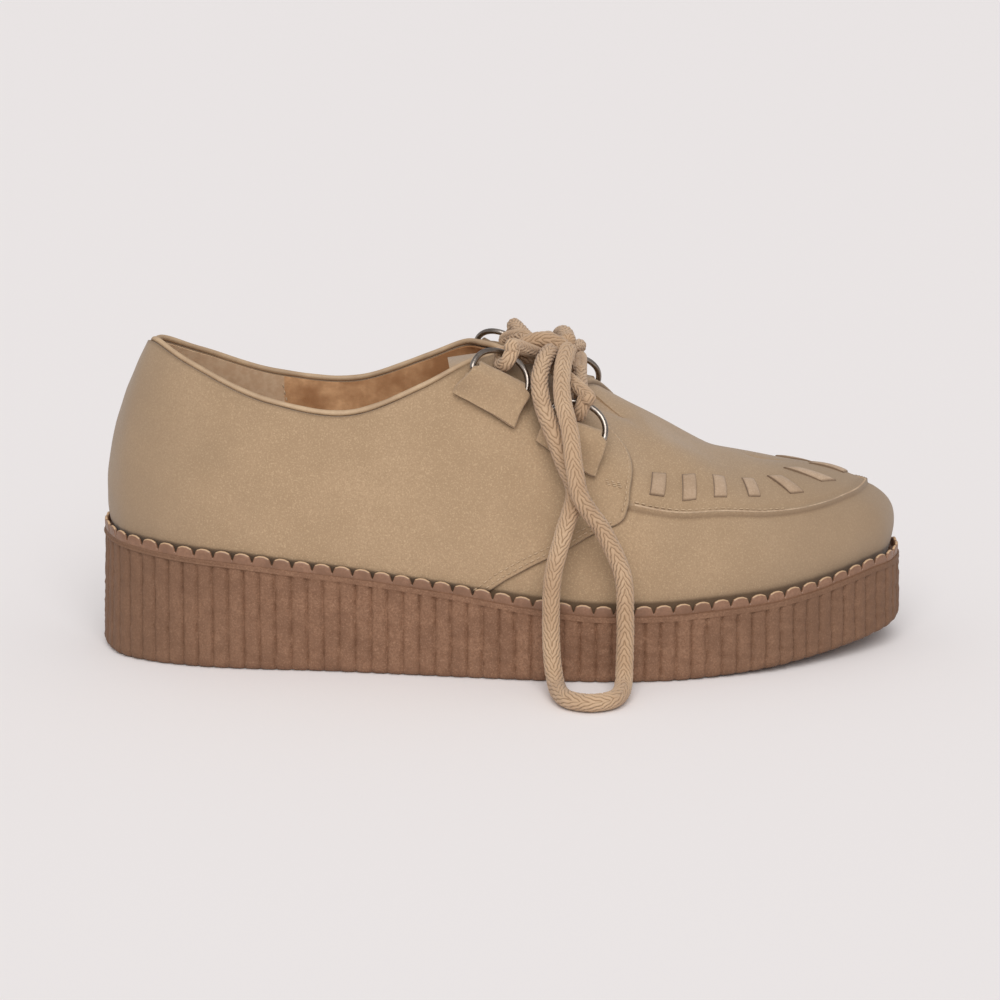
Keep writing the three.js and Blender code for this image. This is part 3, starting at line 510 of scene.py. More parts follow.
def shell(grid: Array, faces: Array, front: Array, back: Array, mark: Array | None = None) -> Shape:
    """A closed shell on both sides of a sheet, with a rim along each open edge.

    Args:
        grid: the sheet's points.
        faces: its faces, whose fronts face outward.
        front: the height of the front over the sheet, at each point.
        back: the height of the back over the sheet.
        mark: the chart's mark at each point, if the shape has a chart.

    Returns:
        The closed shape.
    """
    points = grid.reshape(-1, 3)
    count = len(points)
    normals = face_normals(points, faces)
    edges = np.stack([faces, np.roll(faces, -1, axis=1)], -1).reshape(-1, 2)
    keys, turned = edges[:, 0] * count + edges[:, 1], edges[:, 1] * count + edges[:, 0]
    rim = edges[~np.isin(keys, turned)]
    walls = np.stack([rim[:, 1], rim[:, 0], rim[:, 0] + count, rim[:, 1] + count], -1)
    flat = np.zeros(grid.shape[:-1])
    layers = [points + normals * (flat + height).reshape(-1, 1) for height in (front, back)]
    chart = None if mark is None else np.tile(marked(mark), (2, 1))
    return Shape(np.concatenate(layers), np.concatenate([faces, faces[:, ::-1] + count, walls]), chart)


def spline(route: Array, spacing: float, closed: bool = False) -> Array:
    """Even points on the smooth curve through a route.

    The curve passes through each point with the slope that joins its neighbours, and is read off by length.

    Args:
        route: the points that the curve passes through.
        spacing: the distance between the points that come back.
        closed: whether the curve runs back to its start.

    Returns:
        The points, without the start repeated.
    """
    route = np.asarray(route, float)
    before, after = 2 * route[:1] - route[1:2], 2 * route[-1:] - route[-2:-1]
    full = np.concatenate([route[-1:], route, route[:2]] if closed else [before, route, after])
    u = np.linspace(0, 1, 24, endpoint=False)[None, :, None]
    before, here, after, beyond = (full[k : len(full) - 3 + k, None] for k in range(4))
    curve = 0.5 * (2 * here + (after - before) * u + (2 * before - 5 * here + 4 * after - beyond) * u**2
                   + (3 * here - before - 3 * after + beyond) * u**3)
    dense = np.concatenate([curve.reshape(-1, 3), full[-2:-1]])
    lengths = run_lengths(dense)
    count = max(2, round(lengths[-1] / spacing) + 1)
    even = read_at(np.linspace(0, lengths[-1], count), lengths, dense)
    return even[:-1] if closed else even


def frames(path: Array) -> tuple[Array, Array]:
    """Two directions square to a path at each of its points, carried along it without twist.

    Args:
        path: the path's points.

    Returns:
        Both directions at each point.
    """
    headings = unit(np.gradient(path, axis=0))
    start = unit(np.cross(headings[0], [0.0, 0.0, 1.0]) + [1e-6, 0, 0])
    carried = accumulate(headings[1:], lambda last, way: unit(last - way * (last @ way)), initial=start)
    out = np.array(list(carried))
    return out, np.cross(headings, out)


def tube(path: Array, radius: Array, sides: int, capped: bool = True) -> Shape:
    """A round bar along a path, each of whose points carries a circle.

    Args:
        path: the points of the middle line.
        radius: one radius, one for each point, or one for each point and side.
        sides: points on each circle.
        capped: whether the ends are closed with small domes.

    Returns:
        The shape, whose chart holds the length along the bar and the angle round it.
    """
    out, up = frames(path)
    radius = np.reshape(radius, np.shape(radius) + (1,) * (2 - np.ndim(radius)))
    radius = radius * np.ones((len(path), sides))
    length = run_lengths(path)
    if capped:
        dome = np.array([0.0, 0.55, 0.85])
        heading = unit(np.gradient(path, axis=0))
        mean = radius.mean()
        reach = np.array([1.0, 0.8, 0.45]) * mean * 0.6
        path = np.concatenate([path[:1] - heading[:1] * reach[:, None], path,
                               path[-1:] + heading[-1:] * reach[::-1, None]])
        radius = np.concatenate([radius[:1] * dome[:, None], radius, radius[-1:] * dome[::-1, None]])
        out = np.concatenate([np.repeat(out[:1], 3, 0), out, np.repeat(out[-1:], 3, 0)])
        up = np.concatenate([np.repeat(up[:1], 3, 0), up, np.repeat(up[-1:], 3, 0)])
        length = np.concatenate([length[0] - reach, length, length[-1] + reach[::-1]])
    angle = np.arange(sides) / sides * 2 * math.pi
    circle = out[:, None] * np.cos(angle)[None, :, None] + up[:, None] * np.sin(angle)[None, :, None]
    points = path[:, None] + circle * radius[..., None]
    faces = grid_faces(numbered(points).T, wrap=True)
    chart = np.stack(np.broadcast_arrays(length[:, None], angle[None]), -1).reshape(-1, 2)
    return Shape(points.reshape(-1, 3), faces, chart)


def closed_bar(path: Array, radius: float, sides: int) -> Shape:
    """A round bar along a path that runs back to its start.

    Args:
        path: the points of the middle line, without the start repeated.
        radius: the bar's radius.
        sides: points on each circle.

    Returns:
        The closed shape.
    """
    bar = tube(np.concatenate([path[-2:], path, path[:2]]), radius, sides, capped=False)
    points = bar.points.reshape(-1, sides, 3)[2:-2]
    return Shape(points.reshape(-1, 3), ring_faces(points))


@dataclass
class Workshop:
    """Turns shapes into objects that ride on the shoe's body."""

    made: list[str] = field(default_factory=list)

    def build(self, name: str, shape: Shape, finish: "Finish", slot: Slot, replaces: tuple[str, ...] = (),
              sharp: float = 50.0) -> bpy.types.Object:
        """Writes a mesh, dresses it and hangs it on the body.

        Args:
            name: the piece's name.
            shape: its points and faces, in millimetres.
            finish: the finish it wears.
            slot: the record's material slot; not used.
            replaces: the nodes that it stands for.
            sharp: edges with a greater angle than this stay sharp, in degrees.

        Returns:
            The new object.
        """
        mesh = bpy.data.meshes.new(name)
        mesh.from_pydata((shape.points * MM).tolist(), [], shape.faces.tolist())
        if shape.chart is not None:
            layer = mesh.uv_layers.new(name="chart")
            corners = np.empty(len(mesh.loops), np.int32)
            mesh.loops.foreach_get("vertex_index", corners)
            chart = shape.chart[corners]
            turns = chart[:, 1].reshape(-1, 4)
            turns[(turns.max(axis=1) - turns.min(axis=1) > math.pi)[:, None] & (turns < 1.0)] += 2 * math.pi
            layer.data.foreach_set("uv", np.stack([chart[:, 0], turns.ravel()], -1).ravel())
        work = bmesh.new()
        work.from_mesh(mesh)
        bmesh.ops.remove_doubles(work, verts=work.verts, dist=2e-6)
        bmesh.ops.recalc_face_normals(work, faces=work.faces)
        work.to_mesh(mesh)
        work.free()
        mesh.polygons.foreach_set("use_smooth", np.ones(len(mesh.polygons), bool))
        mesh.set_sharp_from_angle(angle=math.radians(sharp))
        mesh.materials.append(finish.material())
        piece = bpy.data.objects.new(name, mesh)
        bpy.context.scene.collection.objects.link(piece)
        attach(piece, BODY)
        if replaces:
            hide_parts(*replaces)
        self.made.append(name)
        LOG.info("%s: %d faces", name, len(mesh.polygons))
        return piece


def srgb(red: int, green: int, blue: int) -> Colour:
    """A screen colour as the linear values that a shader takes."""
    values = [value / 255 for value in (red, green, blue)]
    return (*[v / 12.92 if v <= 0.04045 else ((v + 0.055) / 1.055) ** 2.4 for v in values], 1.0)


class Graph:
    """A small hand for wiring a node tree."""

    def __init__(self, tree: bpy.types.NodeTree) -> None:
        """Holds the tree.

        Args:
            tree: the tree to wire.
        """
        self.tree = tree

    def add(self, kind: str, inputs: dict[str | int, object] | None = None, **settings: object) -> Node:
        """Adds a node.

        Args:
            kind: its Blender type.
            inputs: for each input, a value or the socket that feeds it.
            settings: its own properties.

        Returns:
            The node.
        """
        node = self.tree.nodes.new(kind)
        for key, value in settings.items():
            setattr(node, key, value)
        return self.feed(node, inputs or {})

    def math(self, operation: str, first: object, second: object = 0.5) -> Socket:
        """The outcome of one sum on two values or sockets."""
        return self.add("ShaderNodeMath", {0: first, 1: second}, operation=operation).outputs[0]

    def mix(self, share: object, first: object, second: object, blend: str = "MIX") -> Socket:
        """A mix of two colours."""
        return self.add("ShaderNodeMix", {"Factor": share, 6: first, 7: second}, data_type="RGBA",
                        blend_type=blend).outputs[2]

    def ramp(self, value: Socket, low: float, high: float) -> Socket:
        """The value stretched so that low gives 0 and high gives 1, with soft ends."""
        return self.add("ShaderNodeMapRange", {"Value": value, "From Min": low, "From Max": high},
                        interpolation_type="SMOOTHSTEP").outputs[0]

    def noise(self, vector: Socket, scale: object, detail: float = 3.0, roughness: float = 0.55) -> Socket:
        """Cloudy noise, whose scale is in swells for each metre."""
        return self.add("ShaderNodeTexNoise", {"Vector": vector, "Scale": scale, "Detail": detail,
                                               "Roughness": roughness}).outputs["Fac"]

    def group(self, tree: bpy.types.NodeTree, inputs: dict[str, object]) -> Node:
        """A shared effect, fed with values or sockets."""
        node = self.add("ShaderNodeGroup", node_tree=tree)
        return self.feed(node, inputs)

    def feed(self, node: Node, inputs: dict[str | int, object]) -> Node:
        """Gives a node's inputs their values or the sockets that feed them.

        Args:
            node: the node.
            inputs: for each input, a value or a socket.

        Returns:
            The same node.
        """
        for key, value in inputs.items():
            if isinstance(value, Socket):
                self.tree.links.new(value, node.inputs[key])
            else:
                node.inputs[key].default_value = value
        return node

    def place(self, vector: Socket) -> Socket:
        """The first of a vector's three values, which is the place along the shoe for coordinates."""
        return self.add("ShaderNodeSeparateXYZ", {0: vector}).outputs[0]

    def chart(self) -> Socket:
        """The mesh's chart."""
        return self.add("ShaderNodeUVMap", uv_map="chart").outputs[0]


def effect(name: str, inputs: dict[str, str], outputs: dict[str, str]) -> tuple[Graph, Node, Node]:
    """An empty shader node group with named sockets.

    Args:
        name: the group's name.
        inputs: socket types by name.
        outputs: socket types by name.

    Returns:
        The group's graph, its input node and its output node.
    """
    tree = bpy.data.node_groups.new(name, "ShaderNodeTree")
    for direction, sockets in (("INPUT", inputs), ("OUTPUT", outputs)):
        for label, kind in sockets.items():
            tree.interface.new_socket(name=label, in_out=direction, socket_type=f"NodeSocket{kind}")
    graph = Graph(tree)
    return graph, graph.add("NodeGroupInput"), graph.add("NodeGroupOutput")


@dataclass
class Effects:
    """The effects that several finishes share, each built once."""

    @cached_property
    def mottle(self) -> bpy.types.NodeTree:
        """Two sizes of soft patches, and fine grain for height and colour.

        Returns:
            The group's tree.
        """
        graph, given, result = effect(
            "mottle", {"Vector": "Vector", "Patch": "Float", "Fleck": "Float", "Grain": "Float"},
            {"Patches": "Float", "Flecks": "Float", "Grain": "Float"})
        vector, patch, fleck, grain = (given.outputs[name] for name in ("Vector", "Patch", "Fleck", "Grain"))
        graph.feed(result, {
            "Patches": graph.noise(vector, patch, 3.0, 0.6),
            "Flecks": graph.noise(vector, fleck, 4.0, 0.65),
            "Grain": graph.noise(vector, grain, 2.0, 0.7)})
        return graph.tree

    @cached_property
    def end_shade(self) -> bpy.types.NodeTree:
        """A mask of painted shade that grows towards the heel's back and the toe's tip, where they turn away
        from the light, with a cloudy border.

        Returns:
            The group's tree.
        """
        graph, given, result = effect("end_shade", {"Vector": "Vector"}, {"Mask": "Float"})
        place = graph.place(given.outputs["Vector"])
        cloud = graph.math("SUBTRACT", graph.noise(given.outputs["Vector"], 30.0), 0.5)
        moved = graph.math("ADD", place, graph.math("MULTIPLY", cloud, 0.05))
        heel = graph.ramp(graph.math("MULTIPLY", moved, -1.0), 0.075, 0.145)
        toe = graph.ramp(moved, 0.03, 0.145)
        graph.feed(result, {"Mask": graph.math("MAXIMUM", heel, toe)})
        return graph.tree

    @cached_property
    def plait(self) -> bpy.types.NodeTree:
        """The braid's round swells and the mask for painted shade in its creases, from the phase that the
        cord's chart holds.

        Returns:
            The group's tree.
        """
        graph, given, result = effect("plait", {"Chart": "Vector"}, {"Height": "Float", "Strand": "Float"})
        phase = graph.math("MULTIPLY", graph.place(given.outputs["Chart"]), math.pi)
        swell = graph.math("POWER", graph.math("ABSOLUTE", graph.math("SINE", phase)), 0.6)
        fibre = graph.add("ShaderNodeTexNoise", {
            "Vector": given.outputs["Chart"], "Scale": 9.0, "Detail": 2.0})
        graph.feed(result, {
            "Height": graph.math("ADD", swell, graph.math("MULTIPLY", fibre.outputs["Fac"], 0.4)),
            "Strand": graph.ramp(swell, 0.2, 0.85)})
        return graph.tree


EFFECTS = Effects()


@dataclass(frozen=True)
class Finish:
    """One finish: colours by mask, flecks, grain and gloss."""

    name: str
    light: Colour
    dark: Colour
    roughness: float
    patch: float = 30.0
    fleck: float = 260.0
    grain: float = 1500.0
    fleck_share: float = 0.35
    relief: float = 0.2
    depth: float = 0.0004
    sheen: float = 0.0
    metal: float = 0.0
    specular: float = 0.5
    speckle: Colour = (0.5, 0.5, 0.5, 1.0)
    speckle_share: float = 0.0
    speckle_scale: float = 1500.0
    # The colour and share of the painted shade towards the heel's back and the toe's tip.
    end_shade_colour: Colour = (0.5, 0.5, 0.5, 1.0)
    end_shade_share: float = 0.0

    def coordinates(self, graph: Graph) -> Socket:
        """The object's own coordinates."""
        return graph.add("ShaderNodeTexCoord").outputs["Object"]

    def height(self, graph: Graph, mottle: Node) -> Socket:
        """The fine height of the surface: grain with a little of the flecks."""
        flecks = graph.math("MULTIPLY", mottle.outputs["Flecks"], 0.8)
        return graph.math("ADD", mottle.outputs["Grain"], flecks)

    def tint(self, graph: Graph, base: Socket, vector: Socket) -> Socket:
        """A chance for a finish to add its own marks to the colour."""
        return base

    def material(self) -> bpy.types.Material:
        """The material, made once.

        Returns:
            The material of this finish.
        """
        known = bpy.data.materials.get(self.name)
        if known:
            return known
        material = bpy.data.materials.new(self.name)
        material.use_nodes = True
        material.node_tree.nodes.clear()
        graph = Graph(material.node_tree)
        vector = self.coordinates(graph)
        mottle = graph.group(EFFECTS.mottle, {
            "Vector": vector, "Patch": self.patch, "Fleck": self.fleck, "Grain": self.grain})
        patches = graph.ramp(mottle.outputs["Patches"], 0.3, 0.7)
        base = graph.mix(patches, self.dark, self.light)
        flecks = graph.ramp(mottle.outputs["Flecks"], 0.35, 0.65)
        base = graph.mix(graph.math("MULTIPLY", flecks, self.fleck_share), base, self.dark)
        specks = graph.ramp(graph.noise(vector, self.speckle_scale, 2.0, 0.8), 0.5, 0.68)
        base = graph.mix(graph.math("MULTIPLY", specks, self.speckle_share), base, self.speckle)
        # Painted shade towards the heel's back and the toe's tip.
        end_shade = graph.group(EFFECTS.end_shade, {"Vector": vector}).outputs["Mask"]
        base = graph.mix(graph.math("MULTIPLY", end_shade, self.end_shade_share), base, self.end_shade_colour)
        base = self.tint(graph, base, vector)
        surface = graph.add("ShaderNodeBump", {"Strength": self.relief, "Distance": self.depth,
                                               "Height": self.height(graph, mottle)})
        shader = graph.add("ShaderNodeBsdfPrincipled", {
            "Base Color": base, "Roughness": self.roughness, "Metallic": self.metal,
            "Sheen Weight": self.sheen, "Sheen Roughness": 0.6, "Specular IOR Level": self.specular,
            "Normal": surface.outputs["Normal"]})
        graph.add("ShaderNodeOutputMaterial", {"Surface": shader.outputs["BSDF"]})
        return material


@dataclass(frozen=True)
class Plaited(Finish):
    """A braided finish that follows the cord's chart."""

    # The colour of the painted shade in the creases between the plaits.
    crease: Colour = (0.2, 0.15, 0.1, 1.0)

    def _plait(self, graph: Graph) -> Node:
        """The plait group on the cord's chart."""
        return graph.group(EFFECTS.plait, {"Chart": graph.chart()})

    def height(self, graph: Graph, mottle: Node) -> Socket:
        """The plaits' height with a little grain."""
        return graph.math("ADD", self._plait(graph).outputs["Height"],
                          graph.math("MULTIPLY", mottle.outputs["Grain"], 0.5))

    def tint(self, graph: Graph, base: Socket, vector: Socket) -> Socket:
        """Painted shade in the creases between the plaits."""
        return graph.mix(self._plait(graph).outputs["Strand"], self.crease, base)


@dataclass(frozen=True)
class Shaded(Finish):
    """A finish with painted shade in its creases and recesses, which the chart marks from 0 to 1."""

    shade: Colour = (0.2, 0.15, 0.1, 1.0)

    def tint(self, graph: Graph, base: Socket, vector: Socket) -> Socket:
        """The painted shade where the chart marks a crease."""
        mark = graph.place(graph.chart())
        return graph.mix(graph.math("MULTIPLY", mark, 0.85), base, self.shade)


@dataclass(frozen=True)
class HighlitTop(Finish):
    """A finish with a painted highlight along a top edge, which the chart marks with its height from 0 to 1.
    """

    # The colour of the painted highlight.
    top_highlight: Colour = (0.5, 0.5, 0.5, 1.0)

    def tint(self, graph: Graph, base: Socket, vector: Socket) -> Socket:
        """The painted highlight near the top, the plain colour below."""
        height = graph.place(graph.chart())
        return graph.mix(graph.ramp(height, 0.86, 0.98), base, self.top_highlight)


@dataclass(frozen=True)
class TwoTone(Finish):
    """A finish with another colour behind a place along the shoe."""

    rear: Colour = (0.5, 0.5, 0.5, 1.0)
    border: float = 0.0

    def tint(self, graph: Graph, base: Socket, vector: Socket) -> Socket:
        """The rear colour with its own flecks, up to a sharp border.

        Args:
            graph: the material's graph.
            base: the front's colour.
            vector: the coordinates.

        Returns:
            The colour.
        """
        forward = graph.ramp(graph.place(vector), self.border - 0.0004, self.border + 0.0004)
        fleck = graph.ramp(graph.noise(vector, self.fleck), 0.35, 0.65)
        return graph.mix(forward, graph.mix(graph.math("MULTIPLY", fleck, 0.25), self.rear, self.dark), base)


# The suede's last two colours are painted shade: towards the heel's back and the toe's tip, and in its
# creases, recesses and foot.
SUEDE = Shaded("sand_suede", srgb(178, 150, 119), srgb(164, 137, 107), 0.95, patch=38, fleck=1300, grain=2600,
               fleck_share=0.85, relief=0.35, depth=0.0003, sheen=0.2, specular=0.12,
               speckle=srgb(214, 186, 150), speckle_share=0.38, speckle_scale=1700.0,
               end_shade_colour=srgb(140, 118, 94), end_shade_share=0.75, shade=srgb(92, 70, 50))
# The strips' last colour is painted shade along their sides and ends.
STRIP_SUEDE = Shaded("strip_suede", srgb(186, 160, 134), srgb(164, 138, 112), 0.95, patch=90, fleck=1250,
                     grain=2600, fleck_share=0.6, relief=0.3, depth=0.0003, sheen=0.2, specular=0.12,
                     speckle=srgb(214, 190, 162), speckle_share=0.25, shade=srgb(96, 74, 54))
# The rubber's last colour is painted shade towards the heel's back and the toe's tip.
RUBBER = Finish("crepe_rubber", srgb(145, 108, 83), srgb(120, 86, 64), 0.7, patch=110, fleck=1300, grain=1900,
                fleck_share=0.9, relief=0.5, depth=0.0004, specular=0.35,
                speckle=srgb(184, 144, 116), speckle_share=0.3, speckle_scale=1800.0,
                end_shade_colour=srgb(110, 82, 62), end_shade_share=0.6)
# The rand's last colour is a painted highlight along the tabs' top edges.
RAND_RUBBER = HighlitTop("rand_rubber", srgb(148, 110, 86), srgb(122, 88, 66), 0.4, patch=120, fleck=1200,
                      grain=1500, fleck_share=0.6, relief=0.25, depth=0.0003, top_highlight=srgb(202, 168, 132))
LINING = TwoTone("leather_lining", srgb(218, 170, 124), srgb(160, 112, 72), 0.6, patch=70, fleck=420,
                 grain=1600, relief=0.2, rear=srgb(204, 174, 142), border=-0.0795)
EDGING = Finish("collar_edging", srgb(196, 168, 134), srgb(170, 142, 112), 0.6, patch=60, fleck=500,
                grain=1500, relief=0.25)
PIPING = Finish("apron_piping", srgb(204, 178, 148), srgb(178, 150, 122), 0.8, patch=200, fleck=1200,
                grain=2600)
NICKEL = Finish("ring_nickel", srgb(176, 166, 156), srgb(120, 110, 102), 0.26, patch=120, fleck=900,
                grain=2500, fleck_share=0.15, relief=0.03, metal=1.0)
THREAD = Finish("sewing_thread", srgb(202, 176, 144), srgb(180, 154, 124), 0.8, patch=300, fleck=900,
                grain=2600)
# The lace's last colour is painted shade in the creases between the plaits.
COTTON = Plaited("lace_cotton", srgb(202, 172, 140), srgb(184, 152, 121), 0.92, patch=60, fleck=1200,
                 grain=2600, fleck_share=0.3, relief=0.5, depth=0.0003, sheen=0.2, specular=0.2,
                 crease=srgb(150, 120, 90))


@dataclass
class PlatformSole:
    """The ribbed sole with its smooth band and bead."""

    shop: Workshop
    ribs: int = 120
    rib_depth: float = 1.05
    band_height: float = 2.0
    band_proud: float = 0.2
    corner: float = 3.0
    bead: float = 0.35
    jag: float = 0.03
    samples: int = 12
    lid_points: int = 26
    bar_pitch: int = 24
    bar_height: float = 0.9
    bar_margin: float = 0.28

    def _groove(self, phase: Array) -> Array:
        """How deep the groove is at a phase of the rib: a soft dip about a narrow, sharper one."""
        away = (phase + 0.35) % 1 - 0.5
        return self.rib_depth * (0.75 * bump(away, 0.09) + 0.25 * bump(away, 0.24))

    def wall(self) -> Array:
        """The sole's wall: a profile of insets and heights carried round the edge.

        The profile turns the lower corner with a quarter circle, runs up the ribs, whose grooves waver a
        little, and ends in the smooth band, which has a bead at the heel.

        Returns:
            The points as a grid of turns and profile rows.
        """
        count = self.ribs * self.samples
        turn = np.arange(count) * 2 / count
        share = FORM.ring_share(turn)
        level = FORM.edge(share)
        foot, top = FORM.sole_under(level[:, 0]), FORM.footbed(level[:, 0])
        phase = turn * self.ribs / 2
        low, high = foot + self.corner, top - self.band_height
        beaded = self.bead * (1 - smooth(FORM.along(level[:, 0]), 0.1, 0.3))
        rows = [
            (self.corner * (1 - math.sin(a)) + self.band_proud, foot + self.corner * (1 - math.cos(a)), 0.8)
            for a in np.linspace(0, math.pi / 2, 6)
        ]
        rows += [(self.band_proud, low + (high - low) * t, 1.0) for t in np.linspace(0.04, 0.96, 26)]
        rows += [
            (self.band_proud, high - 0.35, 0.8), (0.15, high - 0.05, 0.25), (-beaded, high + 0.25, 0.0),
            (0.05 - beaded, high + 0.6, 0.0), (0.08, high + 0.85, 0.0), (0.02, top - 0.5, 0.0),
            (0.08, top - 0.15, 0.0), (0.4, top, 0.0),
        ]
        layers = []
        for inset, z, ribbed in rows:
            flare = FORM.sole_flare * z / FORM.heel_height
            place = np.c_[level, z + np.zeros(count)]
            jagged = phase + self.jag * (ripple(place, 3.1, 5) + ripple(place, 11.0, 6))
            rough = 0.16 * ripple(place, 4.3, 7) + 0.1 * ripple(place, 1.9, 8)
            plan = FORM.edge(share, inset + flare + (self._groove(jagged) + rough) * ribbed)
            layers.append(np.c_[plan, z + np.zeros(count)])
        return np.stack(layers, 1)

    def build(self) -> None:
        """Makes the sole from its wall and two lids; the lower one has cross bars for tread."""
        wall = self.wall()
        inner = np.sin(np.linspace(0, math.pi, self.lid_points)) > self.bar_margin
        turns = np.arange(len(wall) // 2 + 1)
        bars = smooth(np.abs(turns % self.bar_pitch - self.bar_pitch / 2), 5, 7)
        tread = self.bar_height * bars[:, None] * inner
        self.shop.build("platform_sole", lidded(wall, self.lid_points, tread, 0.0), RUBBER, Slot.SOLE,
                        ("outsole",))


@dataclass
class NotchedRand:
    """The rand: a band of small tabs with notches between them, just inside the sole's edge."""

    shop: Workshop
    tabs: int = 96
    notch: float = 2.2
    samples: int = 18

    def build(self) -> None:
        """Makes the rand: a rounded upright profile carried round the edge, lowered in each notch."""
        count = self.tabs * self.samples
        turn = np.arange(count) * 2 / count
        share = FORM.ring_share(turn)
        phase = turn * self.tabs / 2 % 1
        away = np.minimum(phase, 1 - phase)
        dip = self.notch * (1 - smooth(away, 0.0, 0.14)) + 0.7 * (1 - smooth(away, 0.08, 0.42))
        thick = FORM.rand_thickness
        outer = FORM.sole_flare
        profile = (
            (outer + thick, 0.0), (outer, 0.0), (outer - 0.1, 0.3), (outer - 0.12, 0.6),
            (outer - 0.05, 0.85), (outer + 0.1, 0.96), (outer + 0.4, 1.0), (outer + 0.8, 0.98),
            (outer + 1.05, 0.86), (outer + 1.15, 0.5), (outer + 1.3, 0.12), (outer + thick, 0.08),
        )
        layers = []
        for inset, height in profile:
            plan = FORM.edge(share, inset)
            foot = FORM.footbed(plan[:, 0]) + 0.02
            rise = (FORM.rand_height - 0.05) * height - dip * smooth(height, 0.1, 0.9)
            layers.append(np.c_[plan, foot + rise])
        grid = np.stack(layers, 1)
        # The chart's mark for the painted highlight along the tabs' top edges, faded in the notches.
        highlight_heights = np.array([height for _, height in profile]) * (1 - 0.6 * smooth(dip, 0.5, 1.5))[:, None]
        shape = Shape(grid.reshape(-1, 3), ring_faces(grid), marked(highlight_heights))
        self.shop.build("notched_rand", shape, RAND_RUBBER, Slot.SOLE, ("rand",), sharp=75)


def seam_height(q: Array) -> Array:
    """The share v of the apron's seam at q."""
    return through(APRON_SEAM, 1, q)


def quarter_front(v: Array) -> Array:
    """The share q of the quarter's front edge at v."""
    return through(QUARTER_EDGE, 1, v)


def foot_shade(v: Array) -> Array:
    """The painted shade in the crease where the upper meets the rand."""
    return 1 - smooth(v, 0.044, 0.062)


def close_ridge(numbers: Array, q: Array, toe: int, start: float) -> Array:
    """Joins both sides of a sheet along the ridge.

    Args:
        numbers: the sheet's point numbers, in rows from one side round the toe to the other.
        q: the share round the side at each point.
        toe: the row at the toe's tip.
        start: the share at which the ridge starts.

    Returns:
        The numbers, in which rows past the toe share the ridge's points with their twins.
    """
    rows = np.arange(toe + 1, len(numbers))
    rows = rows[q[rows, -1] >= start]
    closed = numbers.copy()
    closed[rows, -1] = numbers[2 * toe - rows, -1]
    return closed


